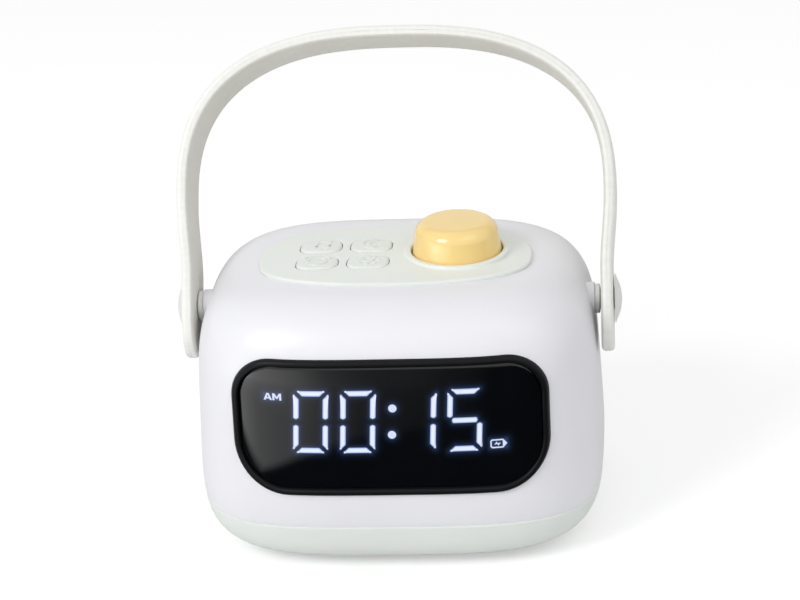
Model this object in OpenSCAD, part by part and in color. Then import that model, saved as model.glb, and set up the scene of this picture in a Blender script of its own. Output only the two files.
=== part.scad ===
// Kids alarm clock with a night light, a carrying strap and a turning, pressing knob.
// Millimetres. The origin is on the table under the middle of the body, the front faces -Y.

/* [Body] */
// Width of the body at its middle
body_w = 130; // [120:1:150]
// Depth of the body at its middle
body_d = 104; // [98:1:120]
// Height of the body above the table
body_h = 90; // [84:1:105]
// Squareness of the body seen from above
plan_square = 3.65; // [3.2:0.05:4.5]
// Squareness of the upper half seen from the front
top_square = 4.9; // [4.2:0.1:6]
// Squareness of the lower half seen from the front
base_square = 5.3; // [4.6:0.1:6.5]
// How far the sides lean in towards the top, as a share of the half width
side_lean = 0.027; // [0:0.005:0.05]
// How far the front leans in towards the top, as a share of the half depth
front_lean = 0.05; // [0:0.005:0.08]
// Wall of the light diffuser
wall = 2.2; // [1.6:0.1:3]
// Wall of the base, with the step that holds its lip
base_wall = 3.6; // [3.2:0.1:4.4]
// Height of the seam between the base and the diffuser
seam_z = 17.4; // [15:0.2:22]
// Height of the base's locating lip above the seam
lip_h = 2.4; // [1.6:0.2:4]
// Height of the base's floor above the table
floor_lift = 1.2; // [0.8:0.1:2]
// Floor thickness of the base
floor_thick = 2.2; // [1.8:0.1:3]

/* [Display] */
// Outer width of the display's rim
display_w = 100; // [90:1:102]
// Outer height of the display's rim
display_h = 44.8; // [40:0.2:48]
// Height of the display's middle above the table
display_z = 51.5; // [48:0.5:55]
// Radius of the display's two upper corners
upper_corner = 13.5; // [10:0.5:15]
// Radius of the display's two lower corners
lower_corner = 17; // [14:0.5:20]
// Width of the black rim
rim_w = 2.2; // [1.6:0.1:3]
// How far the rim stands out of the diffuser
rim_proud = 1.2; // [0.6:0.1:2]
// Thickness of the window
lens_thick = 2.2; // [1.6:0.1:3]
// How far the digits' middle lies above the display's middle
digit_lift = 2.2; // [0:0.2:3]
// Height of a digit
digit_h = 20.7; // [16:0.1:22]
// Width of a digit
digit_w = 11.1; // [9:0.1:11.4]
// Width of a lit segment
segment_w = 1.8; // [1.2:0.1:2.2]
// Depth of the digit block behind the window
block_depth = 7; // [5:0.5:9]

/* [Top panel] */
// Length of the top panel
panel_w = 88; // [86:1:94]
// Depth of the top panel
panel_d = 50; // [49:1:58]
// How far the panel's middle lies behind the body's middle
panel_y = -1.5; // [-2:0.5:1]
// Squareness of the panel's outline
panel_square = 2.5; // [2.4:0.1:3.4]
// Thickness of the panel
panel_thick = 2.4; // [2:0.1:3]
// How far the panel stands above the body
panel_rise = 0.6; // [0.4:0.1:1.2]
// Width of the diffuser's ledge that carries the panel
ledge = 3.2; // [2.6:0.1:3.6]

/* [Buttons] */
// Width of a button
button_w = 13.4; // [12:0.1:14]
// Depth of a button
button_d = 10.8; // [10:0.1:11.6]
// Corner radius of a button
button_corner = 4.2; // [3:0.2:5]
// Distance between two buttons side by side
button_pitch_x = 16.4; // [16:0.1:17]
// Distance between two buttons one behind the other
button_pitch_y = 14; // [13.6:0.1:14.6]
// How far left of the body's middle the four buttons lie
buttons_left = 16.4; // [16.2:0.1:16.8]
// How far a button stands above the panel
button_rise = 0.4; // [0.2:0.1:1]
// How far a button travels
button_travel = 0.8; // [0.4:0.1:1]

/* [Knob] */
// How far right of the body's middle the knob stands
knob_x = 20; // [20:0.5:21]
// Outer radius of the knob at its foot
knob_r = 14.4; // [13:0.2:14.6]
// Height of the knob above the panel
knob_h = 10.4; // [9:0.2:12]
// Radius of the knob's rounded shoulder
knob_shoulder = 3.8; // [2.5:0.1:4.5]
// Wall of the knob
knob_wall = 1.8; // [1.4:0.1:2.4]
// How far the knob is pressed
knob_travel = 0.8; // [0.4:0.1:1]
// Gap round the knob in its seat
knob_gap = 0.5; // [0.4:0.05:0.8]
// Width of the raised collar round the seat
collar_w = 2; // [1.4:0.1:2.2]
// Height of the collar above the panel
collar_h = 0.8; // [0.4:0.1:1]

/* [Strap] */
// Width of the strap
strap_w = 26; // [22:0.5:28]
// Thickness of the strap
strap_thick = 4.2; // [3.6:0.1:4.6]
// How far the strap's pivots lie below the body's top
pivot_drop = 18; // [16:0.5:20]
// How far the pivots lie behind the body's middle
pivot_y = 2; // [0:0.5:4]
// Length of the strap's straight leg above its pivot
leg_h = 34; // [30:1:40]
// Height of the arch above the legs
arch_h = 55.5; // [50:0.5:64]
// Widest reach of the arch beyond the legs, on each side
arch_spread = 1.5; // [0.8:0.1:3]
// Squareness of the arch seen from the front
arch_square = 2.6; // [2:0.1:2.8]
// Distance from the pivot to the tip of the strap's tab
tab_reach = 17.2; // [15:0.2:19]
// Angle that the standing strap leans back
lean = 27; // [15:1:35]
// Radius of the rivet's head
rivet_head_r = 8; // [6.5:0.1:9]
// Height of the rivet's domed head
rivet_head_h = 2.3; // [1.6:0.1:3]
// Radius of the rivet's post
post_r = 3.5; // [2.8:0.1:4]

/* [Inside] */
// Thickness of the circuit boards
board_thick = 1.6; // [1:0.1:2]
// Distance of a frame column from the middle, sideways
column_x = 32; // [31.8:0.1:33]
// Distance of a frame column from the middle, front to back
column_y = 24; // [23.8:0.1:24.6]
// Radius of a frame column
column_r = 3.5; // [3:0.1:3.6]
// Radius of a base screw
base_screw_r = 1.4; // [1.2:0.05:1.6]
// Radius of a small screw
small_screw_r = 0.9; // [0.8:0.05:1.1]
// Thickness of the inner frame's plates
frame_thick = 2; // [1.6:0.1:2.6]
// Radius of the loudspeaker
speaker_r = 16; // [14:0.2:16.2]
// Length of the battery
battery_w = 53; // [44:1:54]
// Depth of the battery
battery_d = 21; // [18:0.5:22]
// Thickness of the battery
battery_h = 8; // [6:0.5:10]
// Radius of a rubber foot
foot_r = 5.4; // [4.5:0.1:5.6]
// Depth of a foot's recess
foot_recess = 0.8; // [0.5:0.1:1]

/* [Hidden] */

around = 64;            // points round each ring of the body
outer_rings = 15;       // rings from the seam to the top of the diffuser
inner_rings = 10;
base_rings = 8;
fit_gap = 0.1;          // between pieces that are pushed together
play = 0.1;             // between a moving button and what stops it
run_gap = 0.05;         // radial gap of a turning or sliding fit
body_gap = 0.3;         // between the strap and what it swings past
$fn = 48;

mid_z = body_h / 2;
pivot_z = body_h - pivot_drop;

// Signed power, which keeps superellipse outlines symmetric
function spow(v, p) = sign(v) * pow(abs(v), p);
function clamped(v) = max(0, min(1, v));

// The body's skin, set in by "inset": its half width and half depth at height z
function level(z, inset) = max(-1, min(1, (z - mid_z) / (mid_z - inset)));
function squareness(s) = s < 0 ? base_square : top_square;
function reach(s) = pow(clamped(1 - pow(abs(s), squareness(s))), 1 / squareness(s));
function half_w(z, inset = 0) = let (s = level(z, inset))
    (body_w / 2 - inset) * (1 - side_lean * s) * reach(s);
function half_d(z, inset = 0) = let (s = level(z, inset))
    (body_d / 2 - inset) * (1 - front_lean * s) * reach(s);

// Y of the skin's front at a place x, z; the rear is its mirror image
function front_y(x, z, inset = 0) =
    -half_d(z, inset) * pow(clamped(1 - pow(abs(x) / half_w(z, inset), plan_square)), 1 / plan_square);

// Points of one level ring of the skin
function ring(z, inset = 0) = [for (i = [0 : around - 1]) let (t = 360 * i / around)
    [half_w(z, inset) * spow(cos(t), 2 / plan_square),
     half_d(z, inset) * spow(sin(t), 2 / plan_square), z]];

// Height of ring k of n between the level z and the skin's top or bottom pole
function ring_angle(z, inset) = let (s = level(z, inset)) asin(spow(s, squareness(s) / 2));
function ring_z(z, inset, k, n, pole) = let (
        a = ring_angle(z, inset),
        t = a + (pole * 90 - a) * k / n,
        s = spow(sin(t), 2 / squareness(sin(t))))
    mid_z + (mid_z - inset) * s;

// Rings of equal length joined into one closed solid, with flat or pointed ends
function flatten(lists) = [for (l = lists) for (p = l) p];
function band_faces(rings, n) = [for (r = [0 : rings - 2]) for (i = [0 : n - 1]) let (
        j = (i + 1) % n, a = r * n + i, b = r * n + j, c = a + n, d = b + n)
    each [[a, d, b], [a, c, d]]];
function cap_faces(first, centre, n, turned) = [for (i = [0 : n - 1]) let (j = (i + 1) % n)
    turned ? [centre, first + j, first + i] : [centre, first + i, first + j]];

module lofted(rings, start_pole, end_pole) {
    n = len(rings[0]);
    count = len(rings);
    points = concat(flatten(rings), [start_pole, end_pole]);
    polyhedron(points = points, faces = concat(
        band_faces(count, n),
        cap_faces(0, n * count, n, false),
        cap_faces(n * (count - 1), n * count + 1, n, true)));
}

// A closed hoop: sections of equal length, one for each place round an outline
module hoop(sections) {
    places = len(sections);
    n = len(sections[0]);
    faces = [for (i = [0 : places - 1]) for (k = [0 : n - 1]) let (
            j = (i + 1) % places, m = (k + 1) % n,
            a = i * n + k, b = i * n + m, c = j * n + k, d = j * n + m)
        each [[a, d, b], [a, c, d]]];
    polyhedron(points = flatten(sections), faces = faces);
}

// A rounded rectangle and a superellipse, as outlines
function arc(cx, cy, r, from, to, steps) =
    [for (i = [0 : steps]) let (t = from + (to - from) * i / steps) [cx + r * cos(t), cy + r * sin(t)]];
function rounded(w, d, r) = concat(
    arc(w / 2 - r, d / 2 - r, r, 0, 90, 6), arc(r - w / 2, d / 2 - r, r, 90, 180, 6),
    arc(r - w / 2, r - d / 2, r, 180, 270, 6), arc(w / 2 - r, r - d / 2, r, 270, 360, 6));
function oval(half_x, half_y, square, n = 72) = [for (i = [0 : n - 1]) let (t = 360 * i / n)
    [half_x * spow(cos(t), 2 / square), half_y * spow(sin(t), 2 / square)]];

// The display's outline in x, z, moved out by "grow", with points along its straight sides too
side_steps = 8;
function between(a, b, steps) = [for (i = [1 : steps - 1]) a + (b - a) * i / steps];
function display_outline(grow = 0) = let (
        hw = display_w / 2 + grow, hh = display_h / 2 + grow,
        ru = upper_corner + grow, rl = lower_corner + grow,
        ur = arc(hw - ru, display_z + hh - ru, ru, 0, 90, 8),
        ul = arc(ru - hw, display_z + hh - ru, ru, 90, 180, 8),
        ll = arc(rl - hw, display_z - hh + rl, rl, 180, 270, 10),
        lr = arc(hw - rl, display_z - hh + rl, rl, 270, 360, 10))
    concat(ur, between(ur[8], ul[0], 12), ul, between(ul[8], ll[0], 4),
        ll, between(ll[10], lr[0], side_steps), lr, between(lr[10], ur[0], 4));

// Heights of the stack under the top panel
panel_top = body_h + panel_rise;
panel_under = panel_top - panel_thick;
seat_depth = 2.6;                       // of the knob's seat below the panel's face
cup_floor = 1.6;
cup_under = panel_top - seat_depth - cup_floor;
encoder_h = 6.8;
keypad_top = cup_under - 2 * play - encoder_h;
keypad_under = keypad_top - board_thick;
keypad_post_h = 2.4;
deck_top = keypad_under - keypad_post_h;
deck_under = deck_top - frame_thick;

// Heights of the stack over the base's floor
floor_top = floor_lift + floor_thick;
tray_under = seam_z + lip_h + 2;
tray_top = tray_under + frame_thick;
main_post_h = 6.6;
main_under = floor_top + main_post_h;
main_top = main_under + board_thick;

// Buttons
flange_w = 1;                           // how far a button's flange reaches beyond its cap
flange_thick = 0.9;
flange_under = panel_under - play - flange_thick;
switch_w = 6;
switch_h = 4.5;
switch_top = keypad_top + switch_h;
stem_under = switch_top + button_travel + play;
stem_r = 2.4;
pin_r = 1.5;
pin_reach = 2;
button_y = panel_y - 0.3;
knob_y = panel_y + 1.5;
button_places = [for (sx = [-1, 1]) for (sy = [-1, 1])
    [-buttons_left + sx * button_pitch_x / 2, button_y + sy * button_pitch_y / 2]];

// Knob and encoder
knob_top = panel_top + knob_h;
knob_foot = panel_top - seat_depth + knob_travel + 2 * play;
seat_r = knob_r + knob_gap;
collar_r = seat_r + collar_w;
cup_r = seat_r + 1.6;
encoder_w = 12;
shaft_r = 3;
neck_r = 3.7;
neck_top = cup_under + cup_floor + 0.4;
plunger_r = 2.6;
plunger_h = 2;
plunger_under = keypad_top + knob_travel + 0.6;
shaft_foot = plunger_under + plunger_h;
shaft_top = knob_top - 3;
hub_r = 5;

// Strap, pivots and what holds them
washer_r = 4.8;
washer_thick = 1.7;
boss_face = half_w(pivot_z - washer_r) + 0.1;   // flat pad that the strap's washer lies on
boss_r = washer_r + 0.6;
boss_inner = boss_face - 6.6;
strap_in = boss_face + washer_thick + body_gap;
strap_out = strap_in + strap_thick;
head_in = strap_out + body_gap;
nut_thick = 2.6;
nut_r = 6;
rise_start = 9;                         // height where the legs begin to spread
strap_length_top = leg_h + arch_h;

// Digit block and its board
block_w = 78;
block_h = 28;
digits_z = display_z + digit_lift;
block_front = max([for (sz = [-1, 1]) front_y(block_w / 2, digits_z + sz * block_h / 2,
    lens_thick + 0.2)]) + 0.6;
block_back = block_front + block_depth;
display_board_back = block_back + board_thick;
standoff = 3;
bracket_front = display_board_back + standoff;
bracket_w = block_w + 12;
deck_front = bracket_front - 1;
deck_back = column_y + column_r + 1;
digit_slant = 3.4;                      // degrees that the digits lean to the right
digit_thick = 0.5;
digit_places = [-24.7, -9.9, 9.0, 23.6];

// ---------------------------------------------------------------- casing

module base_shell() {
    color([0.88, 0.91, 0.89])
    difference() {
        union() {
            base_walls();
            for (sx = [-1, 1], sy = [-1, 1]) translate([sx * column_x, sy * column_y, floor_top - 1])
                cylinder(r = column_r + 0.7, h = tray_under - floor_top + 1);
            main_board_posts();
            battery_ribs();
            speaker_ring();
        }
        for (sx = [-1, 1], sy = [-1, 1]) translate([sx * column_x, sy * column_y, 0]) {
            cylinder(r = foot_r + fit_gap, h = floor_lift + foot_recess);
            cylinder(r = base_screw_head_r + 0.3, h = screw_seat_z);
            cylinder(r = base_screw_r + 0.2, h = body_h / 2);
        }
        for (p = main_post_places) translate([p[0], p[1], floor_top + 0.8])
            cylinder(r = small_screw_r, h = main_post_h);
        speaker_holes();
        usb_slot();
        translate([light_x, 0, light_z]) rotate([-90, 0, 0])
            cylinder(r = light_r + fit_gap / 2, h = body_d);
    }
}

// The base's wall: skin, step and lip in one closed solid
module base_walls() {
    outer = [for (k = [0 : base_rings]) ring(floor_lift + (seam_z - floor_lift)
        * (1 - cos(90 * k / base_rings)))];
    lip_inset = wall + 2 * fit_gap;
    lip_top = seam_z + lip_h;
    inner = [for (k = [0 : base_rings - 1]) ring(floor_top + (lip_top - floor_top)
        * (1 - sin(90 * k / base_rings)), base_wall)];
    lofted(concat(outer, [ring(seam_z, lip_inset), ring(lip_top, lip_inset)], inner,
            [ring(floor_top, base_wall)]),
        [0, 0, floor_lift], [0, 0, floor_top]);
}

base_screw_head_r = 2.6;
screw_seat_z = floor_lift + foot_recess + 2.4;

// The main board ends just before the charging socket, which opens in the rear wall
main_board_w = 36;
main_board_d = 46;
main_board_x = 9.8;
usb_w = 9;
usb_h = 3.2;
usb_l = 7.4;
usb_z = main_top + usb_h / 2;
usb_recess = 0.8;
usb_to_board = 0.6;
usb_mouth = -front_y(main_board_x, usb_z) - usb_recess;
main_board_y = usb_mouth - usb_l - usb_to_board - main_board_d / 2;
main_post_in = 3;
main_post_places = [for (sx = [-1, 1], sy = [-1, 1])
    [main_board_x + sx * (main_board_w / 2 - main_post_in),
     main_board_y + sy * (main_board_d / 2 - main_post_in)
        - (sy > 0 ? 5 : 0)]];

module main_board_posts() {
    for (p = main_post_places) translate([p[0], p[1], floor_top - 0.6])
        cylinder(r = 2.2, h = main_post_h + 0.6);
}

// The battery stands on two ribs between two end walls
battery_y = -column_y + 0.4;
battery_lift = 2;
rib_thick = 1.4;

module battery_ribs() {
    for (sx = [-1, 1]) {
        translate([sx * battery_w / 4 - rib_thick / 2, battery_y - battery_d / 2, floor_top - 0.6])
            cube([rib_thick, battery_d, battery_lift + 0.6]);
        translate([sx * (battery_w / 2 + fit_gap + rib_thick / 2) - rib_thick / 2,
                battery_y - battery_d / 2 + 2, floor_top - 0.6])
            cube([rib_thick, battery_d - 4, battery_lift + battery_h * 0.7 + 0.6]);
    }
}

// The loudspeaker lies face down on a ring, over a pattern of sound holes
speaker_x = -column_x + 6;
speaker_y = 4;
speaker_seat = floor_top + 1.6;
sound_hole_r = 0.9;
sound_pitch = 4.2;

module speaker_ring() {
    translate([speaker_x, speaker_y, floor_top - 0.6]) difference() {
        cylinder(r = speaker_r + 0.4, h = speaker_seat - floor_top + 0.6);
        translate([0, 0, -1]) cylinder(r = speaker_r - 2, h = 10);
    }
}

module speaker_holes() {
    translate([speaker_x, speaker_y, 0]) {
        cylinder(r = sound_hole_r, h = floor_top + 1);
        for (circle_no = [1 : 2]) for (i = [0 : 6 * circle_no - 1]) rotate(60 * i / circle_no)
            translate([sound_pitch * circle_no, 0, 0]) cylinder(r = sound_hole_r, h = floor_top + 1);
    }
}

module slot_shape(w, h, length) {
    rotate([-90, 0, 0]) {
        for (sx = [-1, 1]) translate([sx * (w - h) / 2, 0, 0]) cylinder(r = h / 2, h = length);
        translate([(h - w) / 2, -h / 2, 0]) cube([w - h, h, length]);
    }
}

// The charging socket's slot in the rear wall
module usb_slot() {
    translate([main_board_x, main_board_y, usb_z])
        slot_shape(usb_w + 4 * fit_gap, usb_h + 4 * fit_gap, body_d);
}

light_x = main_board_x + 11;
light_z = usb_z;
light_r = 1.2;

module diffuser_shell() {
    color([0.94, 0.94, 0.96])
    difference() {
        union() {
            diffuser_walls();
            panel_ledge();
            for (sx = [-1, 1]) translate([sx * boss_inner, pivot_y, pivot_z]) rotate([0, sx * 90, 0])
                cylinder(r = boss_r, h = boss_face - boss_inner);
        }
        translate([0, panel_y, panel_under])
            linear_extrude(height = 10) polygon(oval(panel_w / 2 + fit_gap, panel_d / 2 + fit_gap,
                panel_square));
        translate([0, panel_y, deck_top])
            linear_extrude(height = 30) polygon(oval(panel_w / 2 - ledge, panel_d / 2 - ledge,
                panel_square));
        translate([0, block_back, 0]) rotate([90, 0, 0])
            linear_extrude(height = body_d / 2) polygon(display_outline(fit_gap));
        translate([-body_w, pivot_y, pivot_z]) rotate([0, 90, 0])
            cylinder(r = post_r + run_gap, h = 2 * body_w);
    }
}

module diffuser_walls() {
    outer = [for (k = [0 : outer_rings - 1]) ring(ring_z(seam_z, 0, k, outer_rings, 1))];
    inner = [for (k = [inner_rings - 1 : -1 : 0]) ring(ring_z(seam_z, wall, k, inner_rings, 1), wall)];
    all_rings = concat(outer, inner);
    count = len(all_rings);
    top_out = [0, 0, body_h];
    top_in = [0, 0, body_h - wall];
    points = concat(flatten(all_rings), [top_out, top_in]);
    outer_last = (outer_rings - 1) * around;
    inner_first = outer_rings * around;
    polyhedron(points = points, faces = concat(
        band_faces(outer_rings, around),
        cap_faces(outer_last, count * around, around, true),
        [for (f = band_faces(inner_rings, around)) [for (i = f) i + inner_first]],
        cap_faces(inner_first, count * around + 1, around, false),
        [for (i = [0 : around - 1]) let (j = (i + 1) % around, last = (count - 1) * around)
            each [[last + i, j, last + j], [last + i, i, j]]]));
}

// The flat ledge under the top panel's edge
module panel_ledge() {
    translate([0, panel_y, panel_under - wall]) linear_extrude(height = wall) difference() {
        polygon(oval(panel_w / 2 + 1, panel_d / 2 + 1, panel_square));
        polygon(oval(panel_w / 2 - ledge - 1, panel_d / 2 - ledge - 1, panel_square));
    }
}

// ---------------------------------------------------------------- top panel and buttons

panel_post_r = 2.3;
panel_post_in = [8.6, 6.6];             // from the panel's ends, and from its front and rear
panel_post_x = panel_w / 2 - panel_post_in[0];
panel_post_y = panel_d / 2 - panel_post_in[1];
left_post_apart = 16;
middle_post_x = 4;
panel_post_places = [for (s = [-1, 1]) each [[-panel_post_x, panel_y + s * left_post_apart / 2],
    [middle_post_x, panel_y + s * panel_post_y]]];

module top_panel() {
    color([0.90, 0.92, 0.90])
    difference() {
        union() {
            translate([0, panel_y, panel_under])
                linear_extrude(height = panel_thick)
                    polygon(oval(panel_w / 2, panel_d / 2, panel_square));
            translate([knob_x, knob_y, cup_under]) cylinder(r = cup_r, h = panel_under - cup_under + 1);
            translate([knob_x, knob_y, panel_top - 1]) {
                cylinder(r = collar_r, h = 1 + collar_h / 2);
                translate([0, 0, 1 + collar_h / 2])
                    cylinder(r1 = collar_r, r2 = collar_r - collar_h / 2, h = collar_h / 2);
            }
            for (p = panel_post_places) translate([p[0], p[1], deck_top])
                cylinder(r = panel_post_r, h = panel_under - deck_top + 1);
        }
        translate([knob_x, knob_y, panel_top - seat_depth]) cylinder(r = seat_r, h = 20);
        translate([knob_x, knob_y, cup_under - 5]) cylinder(r = neck_r + fit_gap, h = 30);
        for (p = button_places) translate([p[0], p[1], panel_under - 5])
            linear_extrude(height = 20)
                polygon(rounded(button_w + 2 * button_gap, button_d + 2 * button_gap,
                    button_corner + button_gap));
        for (p = panel_post_places) translate([p[0], p[1], deck_top - 1])
            cylinder(r = small_screw_r, h = panel_under - deck_top);
    }
}

button_gap = 0.35;

module button(place) {
    color([0.91, 0.93, 0.91])
    translate([place[0], place[1], 0]) {
        translate([0, 0, flange_under + flange_thick - 0.01])
            linear_extrude(height = panel_top + button_rise - flange_under - flange_thick + 0.01)
                polygon(rounded(button_w, button_d, button_corner));
        translate([0, 0, flange_under]) linear_extrude(height = flange_thick)
            polygon(rounded(button_w + 2 * flange_w, button_d + 2 * flange_w, button_corner + flange_w));
        translate([0, 0, stem_under]) cylinder(r = stem_r, h = flange_under - stem_under + 0.2);
        translate([0, 0, switch_top - pin_reach]) cylinder(r = pin_r, h = pin_reach + 2);
    }
}

module button_alarm() { button(button_places[0]); }
module button_sound() { button(button_places[1]); }
module button_brightness() { button(button_places[2]); }
module button_night() { button(button_places[3]); }

// The keypad's board lies between the panel's posts
keypad_clear = [0.4, 1.1];
keypad_half_w = panel_post_x - panel_post_r - keypad_clear[0];
keypad_half_d = panel_post_y - panel_post_r - keypad_clear[1];
keypad_hole_in = 2.6;
keypad_screw_places = [for (sx = [-1, 1], sy = [-1, 1])
    [sx * (keypad_half_w - keypad_hole_in), panel_y + sy * (keypad_half_d - keypad_hole_in)]];

module keypad_board() {
    color([0.20, 0.45, 0.30])
    difference() {
        translate([-keypad_half_w, panel_y - keypad_half_d, keypad_under])
            cube([2 * keypad_half_w, 2 * keypad_half_d, board_thick]);
        for (p = keypad_screw_places) translate([p[0], p[1], keypad_under - 1])
            cylinder(r = small_screw_r + 0.15, h = board_thick + 2);
    }
}

module tact_switches() {
    color([0.25, 0.25, 0.27])
    for (p = button_places) translate([p[0], p[1], keypad_top]) difference() {
        translate([-switch_w / 2, -switch_w / 2, 0]) cube([switch_w, switch_w, switch_h]);
        translate([0, 0, switch_h - pin_reach - button_travel - 2 * play])
            cylinder(r = pin_r + run_gap, h = switch_h);
    }
}

// A pan-head screw that points down, with its head's underside at z = 0
module screw(r, head_r, head_h, length) {
    translate([0, 0, 0]) cylinder(r = head_r, h = head_h);
    translate([0, 0, -length]) cylinder(r = r, h = length + 0.2);
}

small_head_r = 1.8;
small_head_h = 1.2;
panel_screw_bite = 6;                   // how far a panel screw reaches into its post
board_screw_bite = 5;

module keypad_screws() {
    color("silver") for (p = keypad_screw_places) translate([p[0], p[1], keypad_top])
        screw(small_screw_r, small_head_r, small_head_h, board_thick + keypad_post_h);
}

module panel_screws() {
    color("silver") for (p = panel_post_places) translate([p[0], p[1], deck_under]) mirror([0, 0, 1])
        screw(small_screw_r, small_head_r, small_head_h, frame_thick + panel_screw_bite);
}

// ---------------------------------------------------------------- knob

module encoder_body() {
    color([0.62, 0.64, 0.66])
    translate([knob_x, knob_y, 0]) difference() {
        union() {
            translate([-encoder_w / 2, -encoder_w / 2, keypad_top])
                cube([encoder_w, encoder_w, encoder_h]);
            translate([0, 0, keypad_top + encoder_h - 1])
                cylinder(r = neck_r, h = neck_top - keypad_top - encoder_h + 1);
        }
        translate([0, 0, keypad_top + 0.5]) cylinder(r = shaft_r + run_gap, h = 30);
    }
}

module encoder_plunger() {
    color([0.85, 0.85, 0.82])
    translate([knob_x, knob_y, plunger_under]) cylinder(r = plunger_r, h = plunger_h - play);
}

module encoder_shaft() {
    color("silver")
    translate([knob_x, knob_y, shaft_foot]) cylinder(r = shaft_r, h = shaft_top - shaft_foot);
}

module knob_cap() {
    color([0.99, 0.88, 0.62])
    translate([knob_x, knob_y, 0]) rotate_extrude($fn = 96) polygon(concat(
        [[shaft_r, shaft_top], [0, shaft_top], [0, knob_top - 0.25], [knob_r * 0.55, knob_top - 0.1]],
        arc(knob_r - 0.9 - knob_shoulder, knob_top - knob_shoulder, knob_shoulder, 90, 4, 8),
        [[knob_r, panel_top + 0.6], [knob_r, knob_foot], [knob_r - knob_wall, knob_foot],
         [knob_r - 0.9 - knob_wall, knob_top - knob_shoulder],
         [knob_r - 0.9 - knob_shoulder, knob_top - 2.2], [hub_r, knob_top - 2.2],
         [hub_r, neck_top + knob_travel + 2 * play], [shaft_r, neck_top + knob_travel + 2 * play]]));
}

// ---------------------------------------------------------------- display

// The window: a patch of the body's skin with the display's outline
lens_rings = 6;
function lens_share(k) = 1 - pow(1 - k / lens_rings, 1.8);      // closer rings towards the edge

module display_lens() {
    color([0.05, 0.05, 0.06])
    lofted(concat(
            [for (k = [1 : lens_rings]) lens_ring(lens_share(k), lens_front)],
            [for (k = [lens_rings : -1 : 1]) lens_ring(lens_share(k), lens_front + lens_thick)]),
        lens_point([0, display_z], lens_front), lens_point([0, display_z], lens_front + lens_thick));
}

lens_front = 0.15;
lens_edge = -rim_w - 1.5 * fit_gap;
function lens_point(p, inset) = [p[0], front_y(p[0], p[1], inset), p[1]];
function lens_ring(share, inset) = [for (p = display_outline(lens_edge))
    lens_point([p[0] * share, display_z + (p[1] - display_z) * share], inset)];

// The rim: its nose stands out of the skin, its flange lies behind the diffuser and the window
rim_flange = 3;                         // how far the flange reaches behind the diffuser
lens_seat = 2.4;                        // and behind the window
rim_flange_thick = 2;

module display_bezel() {
    behind = max(wall, lens_front + lens_thick) + 2 * fit_gap;
    flange = behind + rim_flange_thick;
    section = [[0, behind], [rim_flange, behind], [rim_flange, flange], [lens_edge - lens_seat, flange],
        [lens_edge - lens_seat, behind], [-rim_w, behind], [-rim_w, -rim_proud * 0.6],
        [-rim_w * 0.78, -rim_proud * 0.95], [-rim_w * 0.45, -rim_proud], [-rim_w * 0.15, -rim_proud * 0.8],
        [0, -rim_proud * 0.4]];
    outlines = [for (s = section) display_outline(s[0])];
    color([0.07, 0.07, 0.08])
    hoop([for (i = [0 : len(outlines[0]) - 1]) [for (k = [0 : len(section) - 1]) let (
        p = outlines[k][i]) [p[0], front_y(p[0], p[1], section[k][1]), p[1]]]]);
}

module display_block() {
    color([0.12, 0.12, 0.13])
    translate([-block_w / 2, block_front, digits_z - block_h / 2]) cube([block_w, block_depth, block_h]);
}

// One segment: a bar with pointed ends, lying along x
module segment(length) {
    h = segment_w / 2;
    polygon([[-length / 2, 0], [h - length / 2, h], [length / 2 - h, h], [length / 2, 0],
        [length / 2 - h, -h], [h - length / 2, -h]]);
}

// Segments in the order: top, upper right, lower right, bottom, lower left, upper left, middle
module digit(lit) {
    across = digit_w - segment_w;
    up = (digit_h - segment_w) / 2;
    places = [[0, up, 0], [across / 2, up / 2, 90], [across / 2, -up / 2, 90], [0, -up, 0],
        [-across / 2, -up / 2, 90], [-across / 2, up / 2, 90], [0, 0, 0]];
    for (i = [0 : 6]) if (lit[i] == 1) translate([places[i][0] + places[i][1] * tan(digit_slant),
        places[i][1]]) rotate(places[i][2] == 90 ? 90 - digit_slant : 0)
            segment((places[i][2] == 90 ? up : across) - 0.5);
}

zero = [1, 1, 1, 1, 1, 1, 0];
one = [0, 1, 1, 0, 0, 0, 0];
five = [1, 0, 1, 1, 0, 1, 1];

module digit_segments() {
    color([0.90, 0.93, 1.0])
    translate([0, block_front, digits_z]) rotate([90, 0, 0]) linear_extrude(height = digit_thick) {
        translate([digit_places[0], 0]) digit(zero);
        translate([digit_places[1], 0]) digit(zero);
        translate([digit_places[2], 0]) digit(one);
        translate([digit_places[3], 0]) digit(five);
        for (s = [-1, 1]) translate([1 + s * 4.4 * tan(digit_slant), s * 4.4]) circle(r = segment_w / 2);
    }
}

display_board_w = block_w + 10;
display_board_h = 34;
display_screw_x = block_w / 2 + 2.4;
display_screw_z = display_board_h / 2 - 6;

module at_display_screws() {
    for (sx = [-1, 1], sz = [-1, 1])
        translate([sx * display_screw_x, 0, digits_z + sz * display_screw_z]) children();
}

// The board is wider than the digit block, so its screws pass beside it
module display_board() {
    color([0.15, 0.35, 0.25])
    difference() {
        translate([-display_board_w / 2, block_back, digits_z - display_board_h / 2])
            cube([display_board_w, board_thick, display_board_h]);
        at_display_screws() translate([0, block_back - 1, 0]) rotate([-90, 0, 0])
            cylinder(r = small_screw_r + 0.15, h = board_thick + 2);
    }
}

module display_bracket() {
    color([0.95, 0.95, 0.95])
    difference() {
        union() {
            translate([-bracket_w / 2, bracket_front, tray_top])
                cube([bracket_w, frame_thick, deck_under - tray_top]);
            at_display_screws() translate([0, display_board_back, 0]) rotate([-90, 0, 0])
                cylinder(r = 2.2, h = standoff + 0.5);
        }
        translate([-22, bracket_front - 1, digits_z - 8]) cube([44, frame_thick + 2, 16]);
        at_display_screws() translate([0, display_board_back - 1, 0]) rotate([-90, 0, 0])
            cylinder(r = small_screw_r, h = standoff + 1);
    }
}

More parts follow.
